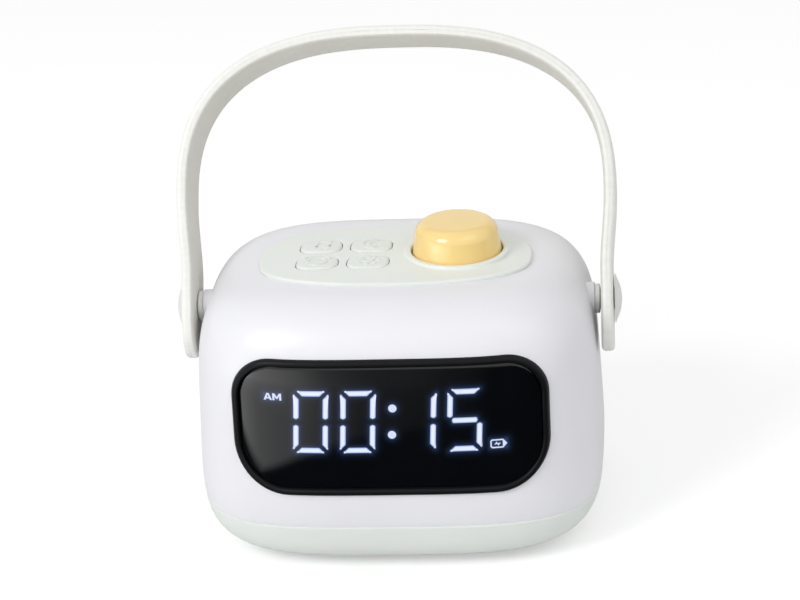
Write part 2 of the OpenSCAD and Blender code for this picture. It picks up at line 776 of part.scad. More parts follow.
module display_screws() {
    color("silver") at_display_screws() translate([0, block_back, 0]) rotate([90, 0, 0])
        screw(small_screw_r, 1.4, 1, board_thick + standoff - 0.4);
}

// ---------------------------------------------------------------- inner frame and boards

tray_inset = wall + 1.6;

module inner_frame() {
    deck_half_w = bracket_w / 2 - 2;
    color([0.96, 0.96, 0.96])
    difference() {
        union() {
            translate([0, 0, tray_under]) linear_extrude(height = frame_thick)
                polygon([for (p = ring(tray_under, tray_inset)) [p[0], p[1]]]);
            for (sx = [-1, 1], sy = [-1, 1]) translate([sx * column_x, sy * column_y, tray_under])
                cylinder(r = column_r, h = deck_top - tray_under - 0.5);
            translate([-deck_half_w, deck_front, deck_under])
                cube([2 * deck_half_w, deck_back - deck_front, frame_thick]);
            for (p = keypad_screw_places) translate([p[0], p[1], deck_top - 0.5])
                cylinder(r = 2.4, h = keypad_post_h + 0.5);
        }
        for (sx = [-1, 1], sy = [-1, 1]) translate([sx * column_x, sy * column_y, tray_under - 1])
            cylinder(r = base_screw_r, h = 12);
        for (p = keypad_screw_places) translate([p[0], p[1], deck_top - 0.4])
            cylinder(r = small_screw_r, h = keypad_post_h + 1);
        for (p = panel_post_places) translate([p[0], p[1], deck_under - 1])
            cylinder(r = small_screw_r + 0.2, h = frame_thick + 2);
    }
}

light_board_w = 2 * (column_x - column_r - 1);
light_board_d = 2 * (column_y + column_r + 1);

module light_board() {
    color([0.93, 0.93, 0.90])
    translate([-light_board_w / 2, -light_board_d / 2, tray_top])
        cube([light_board_w, light_board_d, board_thick]);
}

led_w = 3.5;
led_h = 1.5;

module night_leds() {
    color([1.0, 0.93, 0.70])
    for (sx = [-1.5 : 1 : 1.5], sy = [-1 : 1])
        translate([sx * light_board_w / 4.4, sy * light_board_d / 3.2, tray_top + board_thick + led_h / 2])
            cube([led_w, led_w, led_h], center = true);
}

module main_board() {
    color([0.15, 0.40, 0.28])
    difference() {
        translate([main_board_x - main_board_w / 2, main_board_y - main_board_d / 2, main_under])
            cube([main_board_w, main_board_d, board_thick]);
        for (p = main_post_places) translate([p[0], p[1], main_under - 1])
            cylinder(r = small_screw_r + 0.15, h = board_thick + 2);
    }
}

// Each chip's near left corner from the board's middle, and its size; then a round capacitor
chips = [[[-6, -10], [10, 10, 1.6]], [[-12, 6], [6, 5, 1.4]], [[2, 5], [8, 3, 3.4]]];
capacitor_place = [9, -4];
capacitor_r = 3;
capacitor_h = 6;

module board_chips() {
    color([0.12, 0.12, 0.13]) translate([main_board_x, main_board_y, main_top]) {
        for (chip = chips) translate(chip[0]) cube(chip[1]);
        translate(capacitor_place) cylinder(r = capacitor_r, h = capacitor_h);
    }
}

module main_board_screws() {
    color("silver") for (p = main_post_places) translate([p[0], p[1], main_top])
        screw(small_screw_r, small_head_r, small_head_h, board_thick + board_screw_bite);
}

module usb_socket() {
    color([0.75, 0.76, 0.78])
    translate([main_board_x, usb_mouth - usb_l, usb_z]) difference() {
        slot_shape(usb_w, usb_h, usb_l);
        translate([0, usb_l - 5.6, 0]) slot_shape(usb_w - 0.7, usb_h - 0.7, 6);
    }
}

module charge_light() {
    rear = -front_y(light_x, light_z);
    color([0.95, 0.95, 0.90])
    translate([light_x, rear - 6, light_z]) rotate([-90, 0, 0]) cylinder(r = light_r, h = 5.6);
}

module battery() {
    color([0.55, 0.60, 0.70])
    translate([0, battery_y, floor_top + battery_lift + battery_h / 2]) rotate([90, 0, 90])
        translate([0, 0, -battery_w / 2]) linear_extrude(height = battery_w)
            polygon(rounded(battery_d, battery_h, min(3, battery_h / 2 - 0.1)));
}

basket_wall = 1.6;
basket_depth = 6;                       // from the basket's face to its magnet
magnet_h = 5;
magnet_r = speaker_r - 6;
cone_thick = 0.8;
cone_depth = 4.6;
dust_cap_r = 4;

module speaker_basket() {
    color([0.20, 0.20, 0.22])
    translate([speaker_x, speaker_y, speaker_seat]) rotate_extrude($fn = 64) polygon([
        [speaker_r - basket_wall, 0], [speaker_r, 0], [speaker_r, basket_wall],
        [speaker_r - basket_wall - 0.4, basket_wall], [magnet_r, basket_depth],
        [magnet_r, basket_depth + magnet_h], [0, basket_depth + magnet_h], [0, basket_depth + 0.4],
        [magnet_r - basket_wall, basket_depth + 0.4], [magnet_r - basket_wall, basket_depth - 0.4],
        [speaker_r - 2 * basket_wall, cone_thick + fit_gap],
        [speaker_r - basket_wall, cone_thick + fit_gap]]);
}

module speaker_cone() {
    edge = speaker_r - basket_wall - fit_gap;
    color([0.10, 0.10, 0.11])
    translate([speaker_x, speaker_y, speaker_seat + fit_gap]) rotate_extrude($fn = 64) polygon([
        [0, cone_depth + cone_thick], [dust_cap_r, cone_depth + cone_thick],
        [edge - 2.7, cone_thick], [edge, cone_thick], [edge, 0], [edge - 2.9, 0],
        [dust_cap_r, cone_depth], [0, cone_depth]]);
}

module base_screws() {
    color("silver") for (sx = [-1, 1], sy = [-1, 1])
        translate([sx * column_x, sy * column_y, screw_seat_z]) mirror([0, 0, 1])
            screw(base_screw_r, base_screw_head_r, 2, tray_under - screw_seat_z + 8);
}

module rubber_feet() {
    color([0.30, 0.30, 0.31]) for (sx = [-1, 1], sy = [-1, 1])
        translate([sx * column_x, sy * column_y, 0]) {
            cylinder(r1 = foot_r - 0.5, r2 = foot_r, h = 0.5);
            translate([0, 0, 0.5]) cylinder(r = foot_r, h = floor_lift + foot_recess - 0.5);
        }
}

// ---------------------------------------------------------------- strap

// The strap's middle line in x, height above the pivot, and its outward direction
leg_steps = 8;
arch_steps = 40;
strap_mid = strap_in + strap_thick / 2;
function smooth(t) = t * t * (3 - 2 * t);
function strap_x(h) = strap_mid + arch_spread * smooth(clamped((h - rise_start) / (leg_h - rise_start)));
strap_side = concat(
    [[strap_mid, -tab_reach], [strap_mid, 0]],
    [for (i = [0 : leg_steps - 1]) let (h = rise_start + (leg_h - rise_start) * i / leg_steps)
        [strap_x(h), h]],
    [for (i = [0 : arch_steps]) let (t = 180 * i / arch_steps)
        [(strap_mid + arch_spread) * spow(cos(t), 2 / arch_square),
         leg_h + (arch_h - strap_thick / 2) * spow(sin(t), 2 / arch_square)]]);
strap_path = concat(strap_side,
    [for (i = [leg_steps + 1 : -1 : 0]) [-strap_side[i][0], strap_side[i][1]]]);
function path_normal(i) = let (
        a = strap_path[max(i - 1, 0)], b = strap_path[min(i + 1, len(strap_path) - 1)],
        d = b - a) [d[1], -d[0]] / norm(d);

module strap_profile() {
    last = len(strap_path) - 1;
    polygon(concat(
        [for (i = [0 : last]) strap_path[i] + path_normal(i) * strap_thick / 2],
        [for (i = [last : -1 : 0]) strap_path[i] - path_normal(i) * strap_thick / 2]));
}

// Turns its children about the pivots from upright to the leaning rest
module leaning() {
    translate([0, pivot_y, pivot_z]) rotate([-lean, 0, 0]) children();
}

module carry_strap() {
    reach_out = 2 * (strap_out + arch_spread);
    color([0.97, 0.97, 0.95])
    leaning() difference() {
        intersection() {
            translate([0, strap_w / 2, 0]) rotate([90, 0, 0]) linear_extrude(height = strap_w)
                strap_profile();
            translate([-reach_out / 2, 0, 0]) union() {
                translate([0, 0, strap_w / 2 - tab_reach]) rotate([0, 90, 0])
                    cylinder(r = strap_w / 2, h = reach_out);
                translate([0, -strap_w, strap_w / 2 - tab_reach])
                    cube([reach_out, 2 * strap_w, strap_length_top + strap_w]);
            }
        }
        for (sx = [-1, 1]) translate([sx * strap_in, 0, 0]) rotate([0, sx * 90, 0])
            translate([0, 0, -strap_thick]) cylinder(r = post_r + run_gap, h = 3 * strap_thick);
    }
}

// A domed head outside the strap, and a post through strap, washer, boss and nut
module rivet(side) {
    dome = (rivet_head_r * rivet_head_r + rivet_head_h * rivet_head_h) / (2 * rivet_head_h);
    dome_angle = asin(rivet_head_r / dome);
    color([0.93, 0.93, 0.91])
    translate([side * head_in, pivot_y, pivot_z]) rotate([0, side * 90, 0]) {
        rotate_extrude($fn = 64) polygon(concat([[0, 0], [rivet_head_r, 0]],
            arc(0, rivet_head_h - dome, dome, 90 - dome_angle, 90, 8)));
        translate([0, 0, boss_inner - nut_thick - 1 - head_in])
            cylinder(r = post_r, h = head_in - boss_inner + nut_thick + 1.2);
    }
}

module rivet_left() { rivet(-1); }
module rivet_right() { rivet(1); }

module strap_washers() {
    color([0.90, 0.90, 0.88])
    for (sx = [-1, 1]) translate([sx * boss_face, pivot_y, pivot_z]) rotate([0, sx * 90, 0]) difference() {
        cylinder(r = washer_r, h = washer_thick);
        translate([0, 0, -1]) cylinder(r = post_r + run_gap, h = washer_thick + 2);
    }
}

module pivot_nuts() {
    color("silver")
    for (sx = [-1, 1]) translate([sx * boss_inner, pivot_y, pivot_z]) rotate([0, -sx * 90, 0]) difference() {
        cylinder(r = nut_r, h = nut_thick, $fn = 6);
        translate([0, 0, -1]) cylinder(r = post_r, h = nut_thick + 2);
    }
}

base_shell();
diffuser_shell();
top_panel();
display_lens();
display_bezel();
display_block();
digit_segments();
display_board();
display_bracket();
display_screws();
button_alarm();
button_sound();
button_night();
button_brightness();
keypad_board();
tact_switches();
keypad_screws();
panel_screws();
encoder_body();
encoder_plunger();
encoder_shaft();
knob_cap();
inner_frame();
light_board();
night_leds();
main_board();
board_chips();
main_board_screws();
usb_socket();
charge_light();
battery();
speaker_basket();
speaker_cone();
base_screws();
rubber_feet();
carry_strap();
rivet_left();
rivet_right();
strap_washers();
pivot_nuts();
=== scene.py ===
import math

import bmesh
import bpy
from mathutils import Matrix, Vector


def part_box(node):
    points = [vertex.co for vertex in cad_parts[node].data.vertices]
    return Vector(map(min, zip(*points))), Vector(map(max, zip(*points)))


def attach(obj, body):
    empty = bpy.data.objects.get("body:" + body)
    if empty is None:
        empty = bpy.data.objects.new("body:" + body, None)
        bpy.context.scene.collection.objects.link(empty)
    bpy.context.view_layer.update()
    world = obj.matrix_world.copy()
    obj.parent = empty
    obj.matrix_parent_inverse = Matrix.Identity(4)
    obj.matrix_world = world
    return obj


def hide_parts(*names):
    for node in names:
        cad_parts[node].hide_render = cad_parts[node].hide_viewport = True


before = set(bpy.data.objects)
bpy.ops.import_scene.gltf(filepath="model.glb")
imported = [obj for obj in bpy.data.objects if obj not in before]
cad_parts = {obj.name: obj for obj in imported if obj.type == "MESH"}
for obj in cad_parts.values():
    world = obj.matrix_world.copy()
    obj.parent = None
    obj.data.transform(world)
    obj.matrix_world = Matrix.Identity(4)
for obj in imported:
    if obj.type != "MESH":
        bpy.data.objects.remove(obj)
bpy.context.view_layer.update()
print("frame:", len(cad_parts), "CAD nodes")

# pieces are modelled in millimetres and turned to metres when they are finished
millimetre = 0.001
tiny = 0.001       # points this near each other are one point
cornerGap = 0.01   # keeps the bevels of two close corners apart
mitreLimit = 0.8   # keeps the corners of a stroke that turns sharply short
creaseAngle = 32   # degrees: an edge that turns by less is shaded smooth
up = Vector((0, 0, 1))


def cadBox(node):
    low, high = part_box(node)
    return low / millimetre, high / millimetre


def cadCentre(node):
    low, high = cadBox(node)
    return (low + high) / 2


class Wire:  # a socket of a node tree, so that maths on it reads as maths
    def __init__(self, tree, socket=None):
        self.tree = tree
        self.socket = socket

    def node(self, kind, settings, inputs, output=0):
        made = self.tree.nodes.new("ShaderNode" + kind)
        for name, value in settings.items():
            if name == "stops":
                while len(made.color_ramp.elements) < len(value):
                    made.color_ramp.elements.new(0.5)
                for element, (place, grey) in zip(made.color_ramp.elements, value):
                    element.position = place
                    element.color = (grey, grey, grey, 1)
            else:
                setattr(made, name, value)
        for name, value in inputs.items():
            if isinstance(value, Wire):
                self.tree.links.new(value.socket, made.inputs[name])
            else:
                made.inputs[name].default_value = value
        return Wire(self.tree, made.outputs[output]) if made.outputs else None

    def maths(self, operation, first, second):
        return self.node("Math", {"operation": operation}, {0: first, 1: second})

    def clamped(self):
        return self.node("Clamp", {}, {"Value": self})

    def __add__(self, other):
        return self.maths("ADD", self, other)

    __radd__ = __add__

    def __sub__(self, other):
        return self.maths("SUBTRACT", self, other)

    def __rsub__(self, other):
        return self.maths("SUBTRACT", other, self)

    def __mul__(self, other):
        return self.maths("MULTIPLY", self, other)

    __rmul__ = __mul__


def mixColours(factor, first, second):
    return factor.node("Mix", {"data_type": "RGBA"}, {0: factor, 6: first, 7: second}, 2)


def fromScreen(red, green, blue):  # a colour as a screen shows it, 0 to 255, for a shader
    parts = [value / 255 for value in (red, green, blue)]
    return tuple(p / 12.92 if p < 0.04 else ((p + 0.055) / 1.055) ** 2.4 for p in parts) + (1,)


def tinted(factor, look):  # from a look's deep colour to its light one
    return mixColours(factor, fromScreen(*look["deep"]), fromScreen(*look["light"]))


def noise(place, scale, detail=2.0):
    return place.node("TexNoise", {}, {"Vector": place, "Scale": scale, "Detail": detail}, "Fac")


def bumped(height, strength, depth):
    return height.node("Bump", {}, {"Strength": strength, "Distance": depth, "Height": height}, "Normal")


def makeMaterial(name, finish, look, coordinates="Object"):  # a finish makes a shader from a place
    material = bpy.data.materials.new(name)
    material.use_nodes = True
    material.node_tree.nodes.clear()
    place = Wire(material.node_tree).node("TexCoord", {}, {}, coordinates)
    place.node("OutputMaterial", {}, {"Surface": finish(place, look)})
    return material


def surface(place, inputs):
    return place.node("BsdfPrincipled", {}, inputs)


# a surface drifts between its deep and light colours, as a screen shows them;
# patterns are counted per metre, and their depths are in metres
plasticLooks = {
    "diffuser": {"deep": (236, 236, 241), "light": (243, 243, 247), "rough": 0.34, "bump": 0.03},
    "base_plastic": {"deep": (230, 236, 231), "light": (237, 241, 237), "rough": 0.38, "bump": 0.05},
    "panel_plastic": {"deep": (235, 240, 235), "light": (241, 245, 241), "rough": 0.4, "bump": 0.05},
    "key_plastic": {"deep": (231, 236, 231), "light": (238, 242, 238), "rough": 0.36, "bump": 0.04},
    "knob_plastic": {"deep": (252, 217, 134), "light": (255, 224, 149), "rough": 0.19, "bump": 0.03,
                     "shine": 0.85},
    "rim_black": {"deep": (15, 16, 18), "light": (22, 23, 25), "rough": 0.34, "bump": 0.05,
                  "shine": 0.12},
    "dark_plastic": {"deep": (38, 38, 41), "light": (50, 50, 54), "rough": 0.45, "bump": 0.1},
    "white_plastic": {"deep": (226, 226, 224), "light": (238, 238, 236), "rough": 0.45, "bump": 0.08},
    "rivet_plastic": {"deep": (232, 233, 229), "light": (241, 241, 237), "rough": 0.3, "bump": 0.03},
    "rubber": {"deep": (52, 52, 54), "light": (70, 70, 72), "rough": 0.8, "bump": 0.3},
    "battery_skin": {"deep": (104, 124, 160), "light": (124, 142, 176), "rough": 0.3, "bump": 0.15},
}
plasticGrain = {"cloud": 24, "grain": 2600, "depth": 0.0002, "cloudRough": 0.06, "grainRough": 0.1,
                "shine": 0.5}


def plastic(place, look):
    cloud = noise(place, plasticGrain["cloud"])
    grain = noise(place, plasticGrain["grain"], 3.0)
    return surface(place, {
        "Base Color": tinted(cloud, look),
        "Roughness": look["rough"] + (grain - 0.5) * plasticGrain["grainRough"]
                     + (cloud - 0.5) * plasticGrain["cloudRough"],
        "Specular IOR Level": look.get("shine", plasticGrain["shine"]),
        "Normal": bumped(grain, look["bump"], plasticGrain["depth"]),
    })


steelLook = {"deep": (168, 170, 174), "light": (214, 215, 218), "rough": 0.24, "spread": 0.2,
             "bump": 0.2, "depth": 0.0001, "scratches": (400, 400, 6000)}


def brushedSteel(place, look):
    stretched = place.node("Mapping", {}, {"Vector": place, "Scale": look["scratches"]})
    scratches = noise(stretched, 1.0, 4.0)
    return surface(place, {
        "Base Color": tinted(scratches, look),
        "Metallic": 1.0,
        "Roughness": look["rough"] + scratches * look["spread"],
        "Normal": bumped(scratches, look["bump"], look["depth"]),
    })


boardLook = {"deep": (28, 78, 50), "light": (38, 98, 62), "track": (70, 130, 84), "rough": 0.4,
             "spread": 0.15, "bump": 0.3, "depth": 0.0001, "weave": 1400, "tracks": 260, "trackWidth": 0.06}


def circuitBoard(place, look):
    weave = noise(place, look["weave"])
    tracks = place.node("TexVoronoi", {"feature": "DISTANCE_TO_EDGE"},
                        {"Vector": place, "Scale": look["tracks"]})
    copper = tracks.maths("LESS_THAN", tracks, look["trackWidth"])
    return surface(place, {
        "Base Color": mixColours(copper, tinted(weave, look), fromScreen(*look["track"])),
        "Roughness": look["rough"] + weave * look["spread"],
        "Normal": bumped(copper, look["bump"], look["depth"]),
    })


lampLook = {"deep": (236, 226, 188), "light": (250, 244, 218), "rough": 0.22, "spread": 0.1, "cloud": 700}


def lampPlastic(place, look):
    cloud = noise(place, look["cloud"])
    return surface(place, {
        "Base Color": tinted(cloud, look),
        "Roughness": look["rough"] + cloud * look["spread"],
    })


# black glass, with the halo of the lit digits painted by the "glow" attribute
windowLook = {"deep": (7, 9, 12), "light": (11, 13, 16), "halo": (44, 60, 94), "rough": 0.03, "spread": 0.03,
              "cloud": 60}


def windowGlass(place, look):
    cloud = noise(place, look["cloud"], 3.0)
    glow = place.node("Attribute", {"attribute_name": "glow"}, {}, "Fac")
    return surface(place, {
        "Base Color": tinted(cloud, look),
        "Roughness": look["rough"] + cloud * look["spread"],
        "Emission Color": mixColours(glow, (0, 0, 0, 1), fromScreen(*look["halo"])),
        "Emission Strength": 1.0,
    })


# lit segments are deeper at their edge and palest in their middle, where the "core" attribute is 1
litLook = {"deep": (150, 170, 224), "light": (229, 237, 255), "unlit": (0.02, 0.02, 0.03, 1), "rough": 0.3,
           "spread": 0.1, "cloud": 900, "dimmest": 0.85, "unevenness": 0.3}


def litSegment(place, look):
    cloud = noise(place, look["cloud"])
    core = place.node("Attribute", {"attribute_name": "core"}, {}, "Fac")
    return surface(place, {
        "Base Color": look["unlit"],
        "Roughness": look["rough"] + cloud * look["spread"],
        "Emission Color": tinted(core * (look["dimmest"] + cloud * look["unevenness"]), look),
        "Emission Strength": 1.0,
    })


# grained leather: pebbles, pores and creases follow the strap's own flat layout
faceLook = {"deep": (238, 238, 232), "light": (249, 249, 245), "bump": 0.3, "creased": 0.4}
# the back's darker copy of the leather is painted shade, because the strap's inside lies in shade
shadedBackLook = {"deep": (218, 217, 210), "light": (230, 229, 222), "bump": 0.5, "creased": 2.6}
leatherGrain = {"pebbles": 900, "pores": 3200, "cloud": 40, "creases": (520, 60, 1), "depth": 0.0003,
                "pebbleHeight": 0.6, "poreHeight": 0.25, "cloudTint": 0.6, "pebbleTint": 0.5,
                "rough": 0.46, "spread": 0.2, "bend": 0.068, "bendReach": 0.04}


def leather(place, look):
    pebbles = place.node("TexVoronoi", {"feature": "SMOOTH_F1"},
                         {"Vector": place, "Scale": leatherGrain["pebbles"], "Smoothness": 0.5})
    pores = noise(place, leatherGrain["pores"], 3.0)
    cloud = noise(place, leatherGrain["cloud"], 3.0)
    # wrinkles across the band, where it bends between the legs and the arch
    along = place.node("SeparateXYZ", {}, {0: place}, "X")
    along = along.maths("ABSOLUTE", along, 0.0)
    away = (along - leatherGrain["bend"]) * (1 / leatherGrain["bendReach"])
    bend = away.maths("MAXIMUM", 1 - away * away, 0.0)
    across = place.node("Mapping", {}, {"Vector": place, "Scale": leatherGrain["creases"]})
    creases = noise(across, 1.0) * bend * look["creased"]
    height = pebbles * leatherGrain["pebbleHeight"] + pores * leatherGrain["poreHeight"] + creases
    tint = cloud * leatherGrain["cloudTint"] + pebbles * leatherGrain["pebbleTint"]
    return surface(place, {
        "Base Color": tinted(tint, look),
        "Roughness": leatherGrain["rough"] + pores * leatherGrain["spread"],
        "Normal": bumped(height, look["bump"], leatherGrain["depth"]),
    })


finishes = {slot: makeMaterial(slot, plastic, look) for slot, look in plasticLooks.items()}
finishes["steel"] = makeMaterial("steel", brushedSteel, steelLook)
finishes["circuit_board"] = makeMaterial("circuit_board", circuitBoard, boardLook)
finishes["led"] = makeMaterial("led", lampPlastic, lampLook)
finishes["lens_black"] = makeMaterial("lens_black", windowGlass, windowLook)
finishes["lit_digit"] = makeMaterial("lit_digit", litSegment, litLook)
finishes["strap_leather"] = makeMaterial("strap_leather", leather, faceLook, "UV")
# the back faces get the darker copy of the leather: painted shade
strapShadedBack = makeMaterial("strap_back_painted_shade", leather, shadedBackLook, "UV")
print("materials:", len(finishes))


def limited(share):
    return max(0.0, min(1.0, share))


def eased(share):  # from 0 to 1 with a soft start and end
    t = limited(share)
    return t * t * (3 - 2 * t)


def startLoop(bm, points):  # a closed loop of edges on these points, counter-clockwise
    loop = bmesh.ops.create_circle(bm, segments=len(points), radius=1)["verts"]
    for vert, point in zip(loop, points):
        vert.co = point
    return loop


def startSheet(bm, width, depth, columns=1, rows=1):  # a level sheet round the origin
    made = bmesh.ops.create_grid(bm, x_segments=columns, y_segments=rows, size=0.5)["verts"]
    bmesh.ops.scale(bm, vec=(width, depth, 1), verts=made)
    return made


def loopEdges(bm, loop):
    return [bm.edges.get(pair) for pair in zip(loop, loop[1:] + loop[:1])]


def grownFrom(vert, made):  # the new vertex that an extrusion drew out of this one
    return next(e.other_vert(vert) for e in vert.link_edges if e.other_vert(vert) in made)


def growLoop(bm, loop, points):  # extrudes a loop, and lays the new one on these points
    made = set(bmesh.ops.extrude_edge_only(bm, edges=loopEdges(bm, loop))["geom"])
    grown = [grownFrom(vert, made) for vert in loop]
    for vert, point in zip(grown, points):
        vert.co = point
    return grown


def outward(points):  # the level direction out of a counter-clockwise loop, at each point
    return [(after - before).cross(up).normalized()
            for before, after in zip(points[-1:] + points[:-1], points[1:] + points[:1])]


def sweepLip(bm, loop, moves):  # carries a loop on by (out, up) steps that start from the loop itself
    starts = [vert.co.copy() for vert in loop]
    ways = outward(starts)
    for out, rise in moves:
        loop = growLoop(bm, loop, [s + w * out + up * rise for s, w in zip(starts, ways)])
    return loop


def soften(bm, geom, radius, segments, affect):
    bmesh.ops.bevel(bm, geom=geom, offset=radius, offset_type="OFFSET", segments=segments, profile=0.5,
                    affect=affect, material=-1)


def circlePoints(centre, radius, z, count=96):
    turns = [2 * math.pi * i / count for i in range(count)]
    return [Vector((centre[0] + radius * math.cos(t), centre[1] + radius * math.sin(t), z)) for t in turns]


def arcPoints(centreR, centreZ, radius, fromAngle, toAngle, steps):
    angles = [math.radians(fromAngle + (toAngle - fromAngle) * i / steps) for i in range(steps + 1)]
    return [(centreR + radius * math.cos(a), centreZ + radius * math.sin(a)) for a in angles]


def ovalMeasure(x, y, square):  # 1 on the edge of a superellipse of half sizes 1
    return abs(x) ** square + abs(y) ** square


def ovalSide(x, square):  # its half width at x
    return max(0.0, 1 - abs(x) ** square) ** (1 / square)


def ovalPoints(halfW, halfD, square, z, count, centreY=0.0):  # points of a superellipse
    points = []
    for i in range(count):
        turn = 2 * math.pi * i / count
        c, s = math.cos(turn), math.sin(turn)
        stretch = ovalMeasure(c, s, square) ** (-1 / square)
        points.append(Vector((halfW * c * stretch, centreY + halfD * s * stretch, z)))
    return points


def roundedPoints(width, depth, lowRadius, highRadius, step, segments):
    # a rounded rectangle round the origin, from a plane whose corners are bevelled
    bm = bmesh.new()
    startSheet(bm, width, depth)
    for side, radius in ((-1, lowRadius), (1, highRadius)):
        corners = [v for v in bm.verts if v.co.y * side > depth / 2 - tiny]
        soften(bm, corners, radius, segments, "VERTICES")
    outline = [vert.co.copy() for vert in bm.faces[:][0].verts]
    bm.free()
    points = []
    for here, after in zip(outline, outline[1:] + outline[:1]):
        parts = max(1, round((after - here).length / step))
        points += [here.lerp(after, i / parts) for i in range(parts)]
    return points


def moved(points, offset):
    return [point + Vector(offset) for point in points]


def isInside(point, loop):  # counts how often a ray to the right crosses the loop
    inside = False
    for a, b in zip(loop, loop[1:] + loop[:1]):
        if (a.y > point.y) != (b.y > point.y):
            if point.x < a.x + (point.y - a.y) * (b.x - a.x) / (b.y - a.y):
                inside = not inside
    return inside


def fillBetween(bm, edges):
    bmesh.ops.triangle_fill(bm, use_beauty=True, use_dissolve=False, edges=edges, normal=up)


def fillPlate(bm, outline, holes, spacing):
    # a level plate between loops: a grid of quads inside, and triangles from it to the loops
    loops = [[v.co.copy() for v in loop] for loop in [outline] + holes]
    edge = loops[0]
    width = 2 * max(abs(p.x) for p in edge)
    depth = 2 * max(abs(p.y) for p in edge)
    made = startSheet(bm, width, depth, round(width / spacing), round(depth / spacing))
    margin = spacing * 0.6  # how near the grid may come to a loop
    nearest = [p for loop in loops for p in loop]
    stray = []
    for vert in made:
        where = vert.co
        close = any((where - p).length_squared < margin ** 2 for p in nearest)
        if close or not isInside(where, edge) or any(isInside(where, hole) for hole in loops[1:]):
            stray.append(vert)
    kept = set(made) - set(stray)
    bmesh.ops.delete(bm, geom=stray, context="VERTS")
    loose = [v for v in kept if not v.link_faces]
    bmesh.ops.delete(bm, geom=loose, context="VERTS")
    kept -= set(loose)
    bare = {e for v in kept for e in v.link_edges if not e.link_faces}
    bmesh.ops.delete(bm, geom=list(bare), context="EDGES")
    border = {e for v in kept for e in v.link_edges if len(e.link_faces) == 1}
    for loop in [outline] + holes:
        border.update(loopEdges(bm, loop))
    fillBetween(bm, list(border))


def spinProfile(bm, profile, place, steps):  # a solid of revolution from (radius, height) points
    verts = [bm.verts.new((radius, 0, height)) for radius, height in profile]
    edges = [bm.edges.new(pair) for pair in zip(verts, verts[1:])]
    before = set(bm.verts) - set(verts)
    bmesh.ops.spin(bm, geom=verts + edges, cent=(0, 0, 0), axis=up, dvec=(0, 0, 0),
                   angle=2 * math.pi, steps=steps, use_merge=True, use_duplicate=False)
    made = [v for v in bm.verts if v not in before]
    bmesh.ops.remove_doubles(bm, verts=made, dist=tiny)
    bmesh.ops.transform(bm, matrix=place, verts=[v for v in bm.verts if v not in before])


def addCylinder(bm, points, high):  # a closed block on a level loop
    bottom = startLoop(bm, points)
    bm.faces.new(bottom)
    bm.faces.new(growLoop(bm, bottom, moved(points, (0, 0, high))))


def faceOutwards(bm):
    bmesh.ops.recalc_face_normals(bm, faces=bm.faces[:])


def prism(points, lift):  # a closed block between a loop and its copy, moved by lift
    bm = bmesh.new()
    low = startLoop(bm, points)
    high = growLoop(bm, low, moved(points, lift))
    bm.faces.new(low)
    bm.faces.new(high)
    return bm


def addObject(name, data):
    made = bpy.data.objects.new(name, data)
    bpy.context.scene.collection.objects.link(made)
    return made


def meshObject(name, bm):
    mesh = bpy.data.meshes.new(name)
    bm.to_mesh(mesh)
    bm.free()
    return addObject(name, mesh)


def carve(bm, cutter, operation="DIFFERENCE"):  # Blender's exact boolean on two solids
    faceOutwards(bm)
    faceOutwards(cutter)
    block, tool = meshObject("carving", bm), meshObject("carving", cutter)
    boolean = block.modifiers.new("carve", "BOOLEAN")
    boolean.operation = operation
    boolean.object = tool
    boolean.solver = "EXACT"
    result = bmesh.new()
    result.from_object(block, bpy.context.evaluated_depsgraph_get())
    for used in (block, tool):
        bpy.data.objects.remove(used)
    return result


def makePiece(bm, name, rider, slot, replaced=(), more=()):
    bmesh.ops.remove_doubles(bm, verts=bm.verts[:], dist=tiny / 2)
    faceOutwards(bm)
    for face in bm.faces:
        face.smooth = True
    for edge in bm.edges:
        edge.smooth = edge.calc_face_angle(0) < math.radians(creaseAngle)
    bmesh.ops.scale(bm, vec=(millimetre,) * 3, verts=bm.verts[:])
    piece = meshObject(name, bm)
    for material in (finishes[slot], *more):
        piece.data.materials.append(material)
    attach(piece, rider)
    if replaced:
        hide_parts(*replaced)
    print("piece:", name, len(piece.data.polygons), "faces")


# the body's skin, which the shells, the window, the rim and the panel all follow
body = {
    "width": 130, "depth": 104, "height": 90,
    "planSquare": 3.65, "topSquare": 4.9, "baseSquare": 5.3,
    "sideLean": 0.027, "frontLean": 0.05,
    "seam": 17.4, "wall": 2.2, "around": 208,
}
bodyMiddle = body["height"] / 2


def squareness(level):
    return body["topSquare"] if level > 0 else body["baseSquare"]


def halfSizes(z, inset=0.0):
    level = max(-1.0, min(1.0, (z - bodyMiddle) / (bodyMiddle - inset)))
    reach = ovalSide(level, squareness(level))
    return ((body["width"] / 2 - inset) * (1 - body["sideLean"] * level) * reach,
            (body["depth"] / 2 - inset) * (1 - body["frontLean"] * level) * reach)


def skinFront(x, z, inset=0.0):  # y of the skin's front; the rear mirrors it
    halfW, halfD = halfSizes(z, inset)
    return -halfD * ovalSide(x / halfW, body["planSquare"])


def skinMeasure(x, y, z):  # 1 on the skin, less inside it
    halfW, halfD = halfSizes(z)
    return ovalMeasure(x / halfW, y / halfD, body["planSquare"])


def skinTop(x, y):  # height of the skin's top, found by halving
    low, high = bodyMiddle, body["height"]
    for _ in range(30):
        z = (low + high) / 2
        if skinMeasure(x, y, z) < 1:
            low = z
        else:
            high = z
    return low


def skinRing(z):
    halfW, halfD = halfSizes(z)
    return ovalPoints(halfW, halfD, body["planSquare"], z, body["around"])


def rowAngle(z):  # place of a height on the skin's profile, 90 degrees at the top
    level = (z - bodyMiddle) / bodyMiddle
    return math.degrees(math.atan2(level, ovalSide(level, squareness(level))))


def rowHeight(angle):
    s, c = math.sin(math.radians(angle)), math.cos(math.radians(angle))
    square = squareness(s)
    return bodyMiddle * (1 + s * ovalMeasure(s, c, square) ** (-1 / square))


